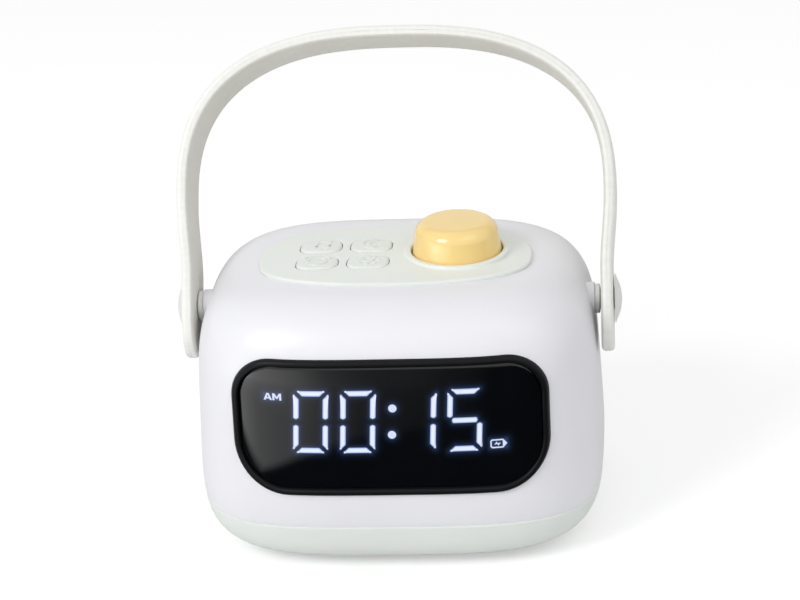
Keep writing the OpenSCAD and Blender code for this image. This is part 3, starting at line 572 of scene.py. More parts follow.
def skinSheet(toAngle, rows):  # from the seam up or down
    bm = bmesh.new()
    start = rowAngle(body["seam"])
    loop = startLoop(bm, skinRing(body["seam"]))
    for row in range(1, rows + 1):
        loop = growLoop(bm, loop, skinRing(rowHeight(start + (toAngle - start) * row / rows)))
    bm.faces.new(loop)
    faceOutwards(bm)
    return bm


def onSeam(vert):  # on a shell's outer edge at the seam; its inner edge measures less
    x, y, z = vert.co
    return abs(z - body["seam"]) < tiny * 10 and skinMeasure(x, y, body["seam"]) > 0.95


def thicken(bm, edgeWidth):  # gives a shell its wall, and its edge at the seam a small round
    bmesh.ops.solidify(bm, geom=bm.faces[:], thickness=body["wall"])
    faceOutwards(bm)
    soften(bm, [e for e in bm.edges if all(onSeam(v) for v in e.verts)], edgeWidth, 2, "EDGES")


# the top panel: a thin plate that follows the skin, with the key holes and the knob's seat
panel = {
    "width": 88, "depth": 50, "y": -1.5, "square": 2.5, "around": 220,
    "rise": 0.6, "under": 88.2, "spacing": 1.0, "edge": 0.5,
    "keyGap": 0.25, "keyEdge": 0.3,
    "collarRadius": 16.9, "collarHeight": 0.8, "collarEdge": 0.5,
    "filletReach": 0.5, "fillet": [(-0.25, 0.06), (-0.42, 0.2)],  # inward and up, to the collar
    "seatRadius": 14.9, "seatDepth": 2.6, "neckRadius": 3.8, "cupWall": 1.6,
}
panelTop = body["height"] + panel["rise"]
knobMiddle = cadCentre("knob_cap")
knobSeat = (knobMiddle.x, knobMiddle.y)
keySize = {"width": 13.4, "depth": 10.8, "corner": 4.2, "step": 1.0, "cornerParts": 8}
keyNodes = {"keyAlarm": ("button_alarm", "alarm_key"), "keySound": ("button_sound", "sound_key"),
            "keyNight": ("button_night", "night_key"),
            "keyBrightness": ("button_brightness", "brightness_key")}


def panelOutline(grow, z):
    return ovalPoints(panel["width"] / 2 + grow, panel["depth"] / 2 + grow, panel["square"], z,
                      panel["around"], panel["y"])


def keyOutline(grow):
    corner = keySize["corner"] + grow
    return roundedPoints(keySize["width"] + 2 * grow, keySize["depth"] + 2 * grow, corner, corner,
                         keySize["step"], keySize["cornerParts"])


def roundDown(radius, side, steps=4):  # moves of a lip that turns from level to straight down
    angles = [math.radians(90 * i / steps) for i in range(1, steps + 1)]
    return [(side * radius * math.sin(a), -radius * (1 - math.cos(a))) for a in angles]


def makePanel():
    bm = bmesh.new()
    outline = startLoop(bm, panelOutline(-panel["edge"], 0))
    hole = keyOutline(panel["keyGap"] + panel["keyEdge"])
    middles = [cadCentre(node) for node, _ in keyNodes.values()]
    holes = [startLoop(bm, moved(hole, (middle.x, middle.y, 0))) for middle in middles]
    collar = panel["collarRadius"]
    collarFoot = startLoop(bm, circlePoints(knobSeat, collar + panel["filletReach"], 0))
    fillPlate(bm, outline, holes + [collarFoot], panel["spacing"])
    for vert in bm.verts:
        vert.co.z = skinTop(vert.co.x, vert.co.y) + panel["rise"]
    lips = [sweepLip(bm, outline, roundDown(panel["edge"], 1))]
    lips += [sweepLip(bm, loop, roundDown(panel["keyEdge"], -1)) for loop in holes]
    under = [growLoop(bm, lip, [Vector((v.co.x, v.co.y, panel["under"])) for v in lip]) for lip in lips]
    # the collar and the cup that the knob stands in
    top, edge = panelTop + panel["collarHeight"], panel["collarEdge"]
    seat, neck = panel["seatRadius"], panel["neckRadius"]
    cup = seat + panel["cupWall"]
    seatFloor = panelTop - panel["seatDepth"]
    cupUnder = seatFloor - panel["cupWall"]
    loop = sweepLip(bm, collarFoot, panel["fillet"])
    profile = [(collar, top - edge)] + arcPoints(collar - edge, top - edge, edge, 15, 90, 5) \
        + arcPoints(seat + edge, top - edge, edge, 90, 180, 6) \
        + [(seat, seatFloor), (neck, seatFloor), (neck, cupUnder), (cup, cupUnder), (cup, panel["under"])]
    for radius, z in profile:
        loop = growLoop(bm, loop, circlePoints(knobSeat, radius, z))
    fillBetween(bm, [e for lip in under + [loop] for e in loopEdges(bm, lip)])
    makePiece(bm, "topPanel", "clock", "panel_plastic", ["top_panel"])


makePanel()


# the opening for the display, and the pivots of the strap
display = {"width": 100, "height": 44.8, "z": 51.5, "upper": 13.5, "lower": 17, "cornerParts": 14,
           "step": 2.0}
spacer = {"radius": 4.8, "thick": 1.7, "bore": 3.6, "edge": 0.3, "around": 64}
boss = {"radius": 5.4, "edge": 0.4, "sunk": 0.05, "around": 64}
bossFace = cadBox("strap_washers")[1].x - spacer["thick"]
bossInner = cadBox("pivot_nuts")[1].x - boss["sunk"]
pivot = (0, cadCentre("rivet_left").y, cadCentre("rivet_left").z)


def displayOutline(grow, step=display["step"]):  # x and height, as x and y
    return moved(roundedPoints(display["width"] + 2 * grow, display["height"] + 2 * grow,
                               display["lower"] + grow, display["upper"] + grow, step,
                               display["cornerParts"]), (0, display["z"], 0))


def upright(point, y):  # an x, height point stood up at a depth y
    return Vector((point.x, y, point.y))


def sideways(side, x):  # turns a piece made round +Z to point out of the body at a pivot
    return Matrix.Translation((side * x, pivot[1], pivot[2])) @ Matrix.Rotation(side * math.pi / 2, 4, "Y")


diffuser = {
    "topAngle": 88.6, "rows": 72, "edge": 0.15,
    "stepIn": 0.32, "stepReach": 6.0,  # it draws in above the base's edge
    "dip": 0.45, "dipWidth": 6.5,      # soft hollow round the top panel
    "gap": 0.1, "cutBelow": 0.2, "cutHigh": 10, "cutFrom": -30, "cutDeep": -40,  # panel and window openings
}


def dipAt(x, y):  # how deep the hollow is, by the distance outside the panel's outline
    y -= panel["y"]
    square = panel["square"]
    share = ovalMeasure(2 * x / panel["width"], 2 * y / panel["depth"], square) ** (1 / square)
    beyond = math.hypot(x, y) * (1 - 1 / max(share, tiny))
    return diffuser["dip"] * eased(1 - beyond / diffuser["dipWidth"])


def makeDiffuser():
    bm = skinSheet(diffuser["topAngle"], diffuser["rows"])
    for vert in bm.verts:
        if vert.co.z > bodyMiddle:
            vert.co.z -= dipAt(vert.co.x, vert.co.y)
        share = max(0.0, 1 - (vert.co.z - body["seam"]) / diffuser["stepReach"])
        vert.co -= Vector((vert.co.x, vert.co.y, 0)).normalized() * diffuser["stepIn"] * share ** 2
    thicken(bm, diffuser["edge"])
    for side in (-1, 1):
        pad = bmesh.new()
        r, edge, high = boss["radius"], boss["edge"], bossFace - bossInner
        profile = [(0, 0), (r, 0), (r, high - edge)] + arcPoints(r - edge, high - edge, edge, 10, 90, 4)
        spinProfile(pad, profile + [(0, high)], sideways(side, bossInner), boss["around"])
        bm = carve(bm, pad, "UNION")
    plate = panelOutline(diffuser["gap"], panel["under"] - diffuser["cutBelow"])
    bm = carve(bm, prism(plate, (0, 0, diffuser["cutHigh"])))
    window = [upright(p, diffuser["cutFrom"]) for p in displayOutline(diffuser["gap"])]
    bm = carve(bm, prism(window, (0, diffuser["cutDeep"], 0)))
    makePiece(bm, "diffuserBody", "clock", "diffuser", ["diffuser_shell"])


base = {"floor": 1.2, "rows": 24, "edge": 0.4,
        "slotWidth": 9.4, "slotHeight": 3.6, "slotStep": 1.0, "slotParts": 8,
        "lightRadius": 1.25, "lightAround": 32, "recessRadius": 5.5, "recess": 2.0, "recessAround": 48,
        "soundRadius": 0.9, "soundPitch": 4.2, "soundRings": 2, "soundAround": 20,
        "cutFrom": -1, "drillLength": 8}
foot = {"radius": 5.4, "high": 2.0, "edge": 0.5, "flat": 0.5, "around": 48}


def footPlaces():
    low, high = cadBox("rubber_feet")
    r = foot["radius"]
    return [(x, y) for x in (low.x + r, high.x - r) for y in (low.y + r, high.y - r)]


def makeBase():
    bm = skinSheet(rowAngle(base["floor"]), base["rows"])
    thicken(bm, base["edge"])
    usb, light, speaker = cadCentre("usb_socket"), cadCentre("charge_light"), cadCentre("speaker_cone")
    corner = base["slotHeight"] / 2 - cornerGap
    slot = roundedPoints(base["slotWidth"], base["slotHeight"], corner, corner, base["slotStep"],
                         base["slotParts"])
    pipe = circlePoints((light.x, light.z), base["lightRadius"], 0, base["lightAround"])
    for outline in (moved(slot, (usb.x, usb.z, 0)), pipe):
        rear = [upright(p, body["depth"] / 4) for p in outline]
        bm = carve(bm, prism(rear, (0, body["depth"] / 2, 0)))
    start = base["cutFrom"]
    for place in footPlaces():
        recess = circlePoints(place, base["recessRadius"], start, base["recessAround"])
        bm = carve(bm, prism(recess, (0, 0, base["recess"] - start)))
    holes = [speaker]
    for ring in range(1, base["soundRings"] + 1):
        holes += circlePoints(speaker, ring * base["soundPitch"], 0, 6 * ring)
    drills = bmesh.new()
    for hole in holes:
        drill = circlePoints(hole, base["soundRadius"], start, base["soundAround"])
        addCylinder(drills, drill, base["drillLength"])
    bm = carve(bm, drills)
    makePiece(bm, "baseBody", "clock", "base_plastic", ["base_shell"])


makeDiffuser()
makeBase()


lit = {
    "time": "0015",
    "segments": {"0": "abcdef", "1": "bc", "5": "acdfg"},  # clockwise from the top, and g in the middle
    "height": 20.7, "width": 11.1, "stroke": 1.75, "gap": 1.0, "slant": 3.4, "z": 53.7,
    "places": (-24.7, -9.8, 9.2, 23.7), "colonX": 1.0, "colonStep": 4.4, "dot": 1.3,
    "round": 0.25, "soft": 0.5, "slice": 1.5, "proud": 0.06, "thick": 0.05,
    "haloReach": 0.5, "haloPower": 0.9, "haloEdge": 3,
    "morning": ((-39.3, 60.7), (-33.6, 62.95)),  # corners of the AM sign, in x and height
    "charge": ((31.3, 43.75), (36.6, 46.75)),
    "widthA": 0.47, "widthM": 0.5, "line": 0.42, "signCore": 0.75,
}


def flipped(bar, sx, sy):
    return [(x * sx, y * sy) for x, y in bar]


def digitBars(digit):  # outlines of a digit's lit segments round its middle, upright
    w, h, s, g = lit["width"] / 2, lit["height"] / 2, lit["stroke"], lit["gap"]
    m = s / 2
    top = [(g - w, h), (w - g, h), (w - s - g, h - s), (s + g - w, h - s)]
    right = [(w, h - g), (w, m + g * 0.5), (w - m, g * 0.9), (w - s, m + g * 0.5), (w - s, h - s - g)]
    middle = [(s + g - w - m, m), (w - s - g + m, m), (w - m - g * 0.6, 0), (w - s - g + m, -m),
              (s + g - w - m, -m), (m + g * 0.6 - w, 0)]
    bars = {"a": top, "b": right, "c": flipped(right, 1, -1), "d": flipped(top, 1, -1),
            "e": flipped(right, -1, -1), "f": flipped(right, -1, 1), "g": middle}
    return [bars[letter] for letter in lit["segments"][digit]]


def litOutlines():  # the digits' bars and the colon's dots, as x and height
    lean = math.tan(math.radians(lit["slant"]))
    bars = [[Vector((place + x + y * lean, lit["z"] + y, 0)) for x, y in bar]
            for place, digit in zip(lit["places"], lit["time"]) for bar in digitBars(digit)]
    dots = [circlePoints((lit["colonX"] + step * lean, lit["z"] + step), lit["dot"], 0, 24)
            for step in (-lit["colonStep"], lit["colonStep"])]
    return bars, dots


lens = {"inset": 0.15, "thick": 2.2, "gap": 0.15, "chamfer": 0.3, "step": 0.8, "spacing": 0.55}


def layOnLens(verts, proud):  # moves x, height, lift points onto the window
    for vert in verts:
        x, z, lift = vert.co
        vert.co = Vector((x, skinFront(x, z, lens["inset"]) - proud - lift, z))


def layFace(bm, points):
    return bm.faces.new([bm.verts.new(point) for point in points])


def layStroke(bm, points, width, closed=False):  # a level ribbon of even width along the points
    before = points[-1:] + points[:-1] if closed else [2 * points[0] - points[1]] + points[:-1]
    after = points[1:] + points[:1] if closed else points[1:] + [2 * points[-1] - points[-2]]
    verts, ways = [], []
    for a, b, c in zip(before, points, after):
        back, ahead = (b - a).cross(up).normalized(), (c - b).cross(up).normalized()
        ways.append((back + ahead) / max(mitreLimit, 1 + back.dot(ahead)) * width / 2)
        verts.append(bm.verts.new(b - ways[-1]))
    edges = [bm.edges.new(pair) for pair in zip(verts, verts[1:] + (verts[:1] if closed else []))]
    made = bmesh.ops.extrude_edge_only(bm, edges=edges)["geom"]
    for vert, way in zip(verts, ways):
        grownFrom(vert, made).co = vert.co + 2 * way
    return [part for part in made if isinstance(part, bmesh.types.BMFace)]


def inBox(corners, shares):  # points given as shares of a box's width and height
    (left, low), (right, high) = corners
    return [Vector((left + (right - left) * x, low + (high - low) * y, 0)) for x, y in shares]


# the letters A and M as outlines in a unit box; the right half of A mirrors the left
halfA = [(0, 0), (0.24, 0), (0.31, 0.2), (0.5, 0.2), (0.5, 0.4), (0.38, 0.4), (0.5, 0.76), (0.5, 1),
         (0.36, 1)]
letterM = [(0, 0), (0.23, 0), (0.23, 0.6), (0.43, 0.2), (0.57, 0.2), (0.77, 0.6), (0.77, 0), (1, 0),
           (1, 1), (0.76, 1), (0.5, 0.5), (0.24, 1), (0, 1)]
# a cell on its side with a pointed end, the solid end itself, and a bolt in a box of its own
cellOutline = [(0.05, 0.22), (0.12, 0.08), (0.74, 0.08), (0.95, 0.5), (0.74, 0.92), (0.12, 0.92),
               (0.05, 0.78)]
cellEnd = [(0.74, 0.04), (1.0, 0.5), (0.74, 0.96)]
boltCorners = [(0.24, 0.26), (0.62, 0.74)]
bolt = [(0.0, 0.3), (0.42, 1.0), (0.5, 0.55), (1.0, 0.7), (0.6, 0.0), (0.48, 0.42)]


def morningSign(bm):
    a, m = lit["widthA"], lit["widthM"]
    outlines = [[(x * a, y) for x, y in halfA], [((1 - x) * a, y) for x, y in reversed(halfA)],
                [(1 - m + x * m, y) for x, y in letterM]]
    for outline in outlines:
        layFace(bm, inBox(lit["morning"], outline))


def chargeSign(bm):
    layStroke(bm, inBox(lit["charge"], cellOutline), lit["line"], True)
    layFace(bm, inBox(lit["charge"], cellEnd))
    boltBox = [(corner.x, corner.y) for corner in inBox(lit["charge"], boltCorners)]
    layFace(bm, inBox(boltBox, bolt))


def makeDigits(bars, dots):
    bm = bmesh.new()
    core = bm.verts.layers.float.new("core")
    for bar in bars:
        soften(bm, layFace(bm, bar).verts[:], lit["round"], 3, "VERTICES")
    bmesh.ops.inset_individual(bm, faces=bm.faces[:], thickness=lit["soft"], use_even_offset=True)
    middles = {vert for vert in bm.verts if not vert.is_boundary}
    rims = set(bm.verts) - middles
    for dot in dots:
        layFace(bm, dot)
    morningSign(bm)
    chargeSign(bm)
    for vert in bm.verts:
        vert[core] = 1.0 if vert in middles else 0.0 if vert in rims else lit["signCore"]
    x = -body["width"] / 2
    while x < body["width"] / 2:  # upright cuts, so that the faces can bend with the window
        bmesh.ops.bisect_plane(bm, geom=bm.verts[:] + bm.edges[:] + bm.faces[:], dist=tiny,
                               plane_co=(x, 0, 0), plane_no=(1, 0, 0))
        x += lit["slice"]
    layOnLens(bm.verts, lit["proud"])
    for face in bm.faces:
        face.normal_update()
        if face.normal.y > 0:
            face.normal_flip()
    bmesh.ops.solidify(bm, geom=bm.faces[:], thickness=lit["thick"])
    makePiece(bm, "litTime", "clock", "lit_digit")


def distanceToShape(point, shape):
    if isInside(point, shape):
        return 0.0
    nearest = math.inf
    for a, b in zip(shape, shape[1:] + shape[:1]):
        along = b - a
        t = limited((point - a).dot(along) / along.length_squared)
        nearest = min(nearest, (point - a - along * t).length)
    return nearest


# the rim's rounded nose stands proud of the skin, on a flange behind the shell
rim = {"width": 2.2, "proud": 1.2, "noseSquare": 0.7, "noseFoot": 0.6, "clear": 0.2, "step": 1.6,
       "flangeIn": 2.4, "flangeOut": 3, "flangeThick": 2}


def makeWindow(shapes):
    bm = bmesh.new()
    chamfer = lens["chamfer"]
    points = displayOutline(-rim["width"] - lens["gap"] - chamfer, lens["step"])
    outline = startLoop(bm, moved(points, (0, -display["z"], 0)))
    fillPlate(bm, outline, [], lens["spacing"])
    sweepLip(bm, outline, [(chamfer * 0.5, -chamfer * 0.2), (chamfer, -chamfer * 0.8)])
    bmesh.ops.translate(bm, vec=(0, display["z"], 0), verts=bm.verts[:])
    glow = bm.verts.layers.float.new("glow")
    edge = lit["haloEdge"]
    glowing = shapes + [inBox(lit[sign], [(0, 0), (1, 0), (1, 1), (0, 1)]) for sign in ("morning", "charge")]
    bounds = [(min(p.x for p in s) - edge, max(p.x for p in s) + edge) for s in glowing]
    for vert in bm.verts:
        close = [s for s, (low, high) in zip(glowing, bounds) if low < vert.co.x < high]
        if close and abs(vert.co.y - lit["z"]) < lit["height"] / 2 + edge:
            distance = min(distanceToShape(vert.co, s) for s in close)
            vert[glow] = math.exp(-(distance / lit["haloReach"]) ** lit["haloPower"])
    layOnLens(bm.verts, 0)
    faceOutwards(bm)
    if bm.faces[:][0].normal.y > 0:
        bmesh.ops.reverse_faces(bm, faces=bm.faces[:])
    bmesh.ops.solidify(bm, geom=bm.faces[:], thickness=lens["thick"])
    makePiece(bm, "displayWindow", "clock", "lens_black", ["display_lens"])


def makeRim():  # section as (grow, depth behind the skin), from the outer foot round to the flange
    half, behind = rim["width"] / 2, lens["inset"] + lens["thick"] + rim["clear"]
    section = [(0, behind)]
    for a in range(0, 181, 15):
        depth = -rim["proud"] * math.sin(math.radians(a)) ** rim["noseSquare"]
        section.append((-half + half * math.cos(math.radians(a)), depth if depth < 0 else rim["noseFoot"]))
    inner, outer, back = -rim["width"] - rim["flangeIn"], rim["flangeOut"], behind + rim["flangeThick"]
    section += [(-rim["width"], behind), (inner, behind), (inner, back), (outer, back), (outer, behind)]
    bm = bmesh.new()
    points = displayOutline(0, rim["step"])
    ways = outward(points)
    rings = []
    for grow, depth in section:
        flat = [p + way * grow for p, way in zip(points, ways)]
        rings.append([upright(p, skinFront(p.x, p.y, depth)) for p in flat])
    first = loop = startLoop(bm, rings[0])
    for ring in rings[1:]:
        loop = growLoop(bm, loop, ring)
    bmesh.ops.bridge_loops(bm, edges=loopEdges(bm, loop) + loopEdges(bm, first))
    makePiece(bm, "displayRim", "clock", "rim_black", ["display_bezel"])


bars, dots = litOutlines()
makeDigits(bars, dots)
makeWindow(bars + dots)
makeRim()


key = {"rise": 0.4, "round": 0.9, "crown": 0.18, "crownSteps": [(-2.2, 0.7), (-3.6, 1.0)],
       "gapUnder": 0.1, "flange": 1.0, "flangeThick": 0.9, "around": 32,
       "stem": 2.4, "stemFrom": 2, "stemSunk": 0.5, "pin": 1.5, "pinHigh": 2.2,
       "line": 0.62, "relief": 0.3, "sunk": 0.1}


def signLine(*points):
    return [Vector((*point, 0)) for point in points]


def signArc(x, y, radius, fromAngle, toAngle, steps):
    return signLine(*arcPoints(x, y, radius, fromAngle, toAngle, steps))


def signRay(degrees):
    return [Matrix.Rotation(math.radians(degrees), 3, "Z") @ point for point in signLine((2.7, 0), (3.8, 0))]


# each key's raised sign, round the key's middle: open lines, closed lines and solid shapes
keySigns = {
    "keyAlarm": [("closed", signArc(0, -0.3, 3.0, 0, 345, 23)),
                 ("open", signLine((0, 1.5), (0, -0.3), (1.5, -0.3))),
                 ("open", signArc(-2.6, 2.3, 1.2, 50, 215, 6)),
                 ("open", signArc(2.6, 2.3, 1.2, -35, 130, 6))],
    "keySound": [("solid", signArc(-2.2, -2.1, 1.1, 0, 330, 11)),
                 ("solid", signArc(2.0, -1.6, 1.1, 0, 330, 11)),
                 ("open", signLine((-1.35, -2.1), (-1.35, 2.3), (2.85, 2.8), (2.85, -1.6)))],
    "keyNight": [("closed", signArc(0.4, 0, 3.2, 55, 305, 20) + signArc(2.1, 0, 2.7, 255, 105, 12))],
    "keyBrightness": [("closed", signArc(0, 0, 1.7, 0, 345, 15))]
                     + [("open", signRay(45 * i)) for i in range(8)],
}


def makeKey(name):
    node, rider = keyNodes[name]
    low, high = cadBox(node)
    middle = (low + high) / 2
    bm = bmesh.new()
    top, soft, crown = panelTop + key["rise"], key["round"], key["crown"]
    loop = startLoop(bm, moved(keyOutline(0), (middle.x, middle.y, top - soft)))
    moves = [(inward, rise) for rise, inward in roundDown(soft, 1, 6)]
    moves += [(out, soft + crown * share) for out, share in key["crownSteps"]]
    bm.faces.new(sweepLip(bm, loop, moves))
    flangeTop = panel["under"] - key["gapUnder"]
    drop, flange = flangeTop - top + soft, key["flange"]
    bm.faces.new(sweepLip(bm, loop, [(0, drop), (flange, drop), (flange, drop - key["flangeThick"])]))
    stemFoot = low.z + key["stemFrom"]
    addCylinder(bm, circlePoints(middle, key["stem"], stemFoot, key["around"]),
                flangeTop - key["stemSunk"] - stemFoot)
    addCylinder(bm, circlePoints(middle, key["pin"], low.z, key["around"]), key["pinHigh"])
    signTop = Vector((middle.x, middle.y, top + crown + key["relief"]))
    for kind, points in keySigns[name]:
        points = moved(points, signTop)
        if kind == "solid":
            sign = [layFace(bm, points)]
        else:
            sign = layStroke(bm, points, key["line"], kind == "closed")
        bmesh.ops.recalc_face_normals(bm, faces=sign)
        if sign[0].normal.z < 0:
            bmesh.ops.reverse_faces(bm, faces=sign)
        bmesh.ops.solidify(bm, geom=sign, thickness=key["relief"] + crown + key["sunk"])
    makePiece(bm, name, rider, "key_plastic", [node])


for keyName in keyNodes:
    makeKey(keyName)


knob = {"radius": 14.4, "waist": 13.5, "shoulder": 4.4, "foot": 89.0, "wall": 1.8, "crown": 0.1,
        "flare": [(0.15, 2.2), (0, 1.6), (0, 0)],  # inside the radius, and above the foot
        "roof": 0.4, "hub": 5, "hubLift": 3, "bore": 3, "boreEnd": 3, "around": 128}


def makeKnob():
    low, high = cadBox("knob_cap")
    top, r, waist, soft = high.z, knob["radius"], knob["waist"], knob["shoulder"]
    wall, hub, bore = knob["wall"], knob["hub"], knob["bore"]
    roof, hubFoot, boreEnd = top - wall - knob["roof"], low.z + knob["hubLift"], top - knob["boreEnd"]
    outside = [(0, top)] + arcPoints(waist - soft, top - soft - knob["crown"], soft, 88, 5, 12) \
        + [(r - inward, knob["foot"] + rise) for inward, rise in knob["flare"]]
    inside = [(r - wall, knob["foot"]), (waist - wall, top - soft), (waist - soft, roof),
              (hub, roof), (hub, hubFoot), (bore, hubFoot), (bore, boreEnd), (0, boreEnd)]
    bm = bmesh.new()
    spinProfile(bm, outside + inside, Matrix.Translation((*knobSeat, 0)), knob["around"])
    makePiece(bm, "knobDial", "knob", "knob_plastic", ["knob_cap"])


makeKnob()


# the strap: a flat leather band, bent over its middle line
strap = {"width": 26, "thick": 4.2, "edge": 1.5, "tabReach": 17.2, "clear": 0.3, "leg": 34, "arch": 55.5,
         "square": 2.6, "spread": 1.5, "riseStart": 9, "lean": 27, "groove": 0.2, "crown": 0.35,
         "crownSquare": 2.5, "backing": 0.6, "spacing": 1.6, "legParts": 41, "cornerParts": 20}


def strapLine():  # points of the band's middle line from one tab's tip to the other, x and height
    middle = bossFace + spacer["thick"] + strap["clear"] + strap["thick"] / 2
    leg, tab, parts = strap["leg"], strap["tabReach"], strap["legParts"]
    side = [Vector((middle, -tab))]
    for i in range(1, parts + 1):
        h = -tab + (leg + tab) * i / parts
        share = (h - strap["riseStart"]) / (leg - strap["riseStart"])
        side.append(Vector((middle + strap["spread"] * eased(share), h)))
    archHalf = middle + strap["spread"]
    archHigh = strap["arch"] - strap["thick"] / 2
    bend = 2 / strap["square"]
    turns = [math.radians(a) for a in range(1, 90)]
    arch = [Vector((archHalf * math.cos(a) ** bend, leg + archHigh * math.sin(a) ** bend)) for a in turns]
    half = side + arch
    return half + [Vector((0, leg + archHigh))] + [Vector((-p.x, p.y)) for p in reversed(half)]


def makeStrap():
    middleLine = strapLine()
    marks = [0.0]
    for a, b in zip(middleLine, middleLine[1:]):
        marks.append(marks[-1] + (b - a).length)
    length = marks[-1]
    halfThick, soft, groove = strap["thick"] / 2, strap["edge"], strap["groove"]

    bm = bmesh.new()
    radius = strap["width"] / 2 - cornerGap
    inner = roundedPoints(length - 2 * soft, strap["width"] - 2 * soft, radius - soft, radius - soft,
                          strap["spacing"], strap["cornerParts"])
    upper = startLoop(bm, inner)
    fillPlate(bm, upper, [], strap["spacing"])
    for vert in bm.verts:  # the face swells a little between its edges
        share = 2 * abs(vert.co.y) / strap["width"]
        vert.co.z = halfThick - strap["crown"] * share ** strap["crownSquare"]
    drop = halfThick - upper[0].co.z
    grooved = [(soft, groove + drop - halfThick), (soft - groove, drop - halfThick)]
    sweepLip(bm, upper, roundDown(soft, 1, 5) + grooved)
    bmesh.ops.mirror(bm, geom=bm.verts[:] + bm.edges[:] + bm.faces[:], axis="Z", merge_dist=tiny)
    layout = bm.loops.layers.uv.new("layout")
    for face in bm.faces:
        # faces near the back take the darker leather, which paints shade on the strap's inside
        isShadedBack = face.calc_center_median().z < groove - halfThick + strap["backing"]
        face.material_index = 1 if isShadedBack else 0
        for corner in face.loops:
            corner[layout].uv = (corner.vert.co.x * millimetre, corner.vert.co.y * millimetre)

    def bent(co):
        along = max(0.0, min(length, co.x + length / 2))
        i = next(k for k in range(1, len(marks)) if marks[k] >= along - 1e-9)
        t = (along - marks[i - 1]) / (marks[i] - marks[i - 1])
        here = middleLine[i - 1].lerp(middleLine[i], t)
        before = (middleLine[i] - middleLine[max(i - 2, 0)]).normalized()
        after = (middleLine[min(i + 1, len(middleLine) - 1)] - middleLine[i - 1]).normalized()
        way = before.lerp(after, t).normalized()
        return Vector((here.x + way.y * co.z, co.y, here.y - way.x * co.z))

    for vert in bm.verts:
        vert.co = bent(vert.co)
    lean = Matrix.Translation(pivot) @ Matrix.Rotation(math.radians(-strap["lean"]), 4, "X")
    bmesh.ops.transform(bm, matrix=lean, verts=bm.verts[:])
    makePiece(bm, "carryBand", "strap", "strap_leather", ["carry_strap"], [strapShadedBack])


makeStrap()


postEnd, domeTop = [corner.x for corner in cadBox("rivet_right")]
rivet = {"head": 8, "dome": 2.3, "edge": 0.35, "post": 3.5, "around": 72,
         "foot": [(0.1, 0.05), (0.4, 0)]}  # inside the head's radius, and above the strap


def makeRivet(name, node, side):
    r, high, post = rivet["head"], rivet["dome"], rivet["post"]
    ball = (r * r + high * high) / (2 * high)
    half = math.degrees(math.asin((r - rivet["foot"][0][0]) / ball))
    headIn = domeTop - high
    profile = arcPoints(0, high - ball, ball, 90, 90 - half, 14) + [(r, rivet["edge"])] \
        + [(r - inward, rise) for inward, rise in rivet["foot"]] \
        + [(post, 0), (post, postEnd - headIn), (0, postEnd - headIn)]
    bm = bmesh.new()
    spinProfile(bm, profile, sideways(side, headIn), rivet["around"])
    makePiece(bm, name, "clock", "rivet_plastic", [node])


def makeSpacers():
    bm = bmesh.new()
    r, t, bore, e = spacer["radius"], spacer["thick"], spacer["bore"], spacer["edge"]
    profile = [(bore, 0), (r - e, 0), (r, e), (r, t - e), (r - e, t), (bore, t), (bore, 0)]
    for side in (-1, 1):
        spinProfile(bm, profile, sideways(side, bossFace), spacer["around"])
    makePiece(bm, "strapSpacers", "clock", "rivet_plastic", ["strap_washers"])


def makeFeet():
    bm = bmesh.new()
    r, h, e = foot["radius"], foot["high"], foot["edge"]
    profile = [(0, 0), (r - e - foot["flat"], 0)] + arcPoints(r - e, e, e, -90, 0, 5) + [(r, h), (0, h)]
    for x, y in footPlaces():
        spinProfile(bm, profile, Matrix.Translation((x, y, 0)), foot["around"])
    makePiece(bm, "rubberFeet", "clock", "rubber", ["rubber_feet"])


makeRivet("rivetLeft", "rivet_left", -1)
makeRivet("rivetRight", "rivet_right", 1)
makeSpacers()
makeFeet()

# the CAD nodes that stay keep their shape and get their finish
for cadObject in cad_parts.values():
    for materialSlot in cadObject.material_slots:
        materialSlot.material = finishes[materialSlot.material.name.split(".")[0]]


# camera, light and floor, in metres
studio = {
    "bodyMiddle": (0, 0, 0.045), "distance": 1.0, "elevation": 23.9, "azimuth": 5.6, "roll": 3.2,
    "aim": (0.0, 0.006, 0.071), "pixelsPerMetre": 3040, "imageWidth": 800, "clip": (0.05, 20),
    "world": 0.59,
}
lamps = {
    "key": {"azimuth": -40, "elevation": 34, "distance": 1.1, "size": 0.46, "watts": 4.45},
    "fill": {"azimuth": 50, "elevation": 50, "distance": 1.3, "size": 0.9, "watts": 1.85},
}


def towards(azimuth, elevation):
    a, e = math.radians(azimuth), math.radians(elevation)
    return Vector((math.sin(a) * math.cos(e), -math.cos(a) * math.cos(e), math.sin(e)))


def makeCamera():
    data = bpy.data.cameras.new("camera")
    data.lens = studio["pixelsPerMetre"] * studio["distance"] / studio["imageWidth"] * data.sensor_width
    data.clip_start, data.clip_end = studio["clip"]
    camera = addObject("camera", data)
    way = towards(studio["azimuth"], studio["elevation"])
    place = Vector(studio["bodyMiddle"]) + way * studio["distance"]
    facing = (Vector(studio["aim"]) - place).to_track_quat("-Z", "Y").to_matrix().to_4x4()
    rolled = Matrix.Rotation(math.radians(-studio["roll"]), 4, "Z")
    camera.matrix_world = Matrix.Translation(place) @ facing @ rolled
    bpy.context.scene.camera = camera


def makeLamp(name, azimuth, elevation, distance, size, watts):
    data = bpy.data.lights.new(name, "AREA")
    data.shape = "DISK"
    data.size = size
    data.energy = watts
    lamp = addObject(name, data)
    way = towards(azimuth, elevation)
    lamp.location = Vector(studio["aim"]) + way * distance
    lamp.rotation_mode = "QUATERNION"
    lamp.rotation_quaternion = (-way).to_track_quat("-Z", "Y")


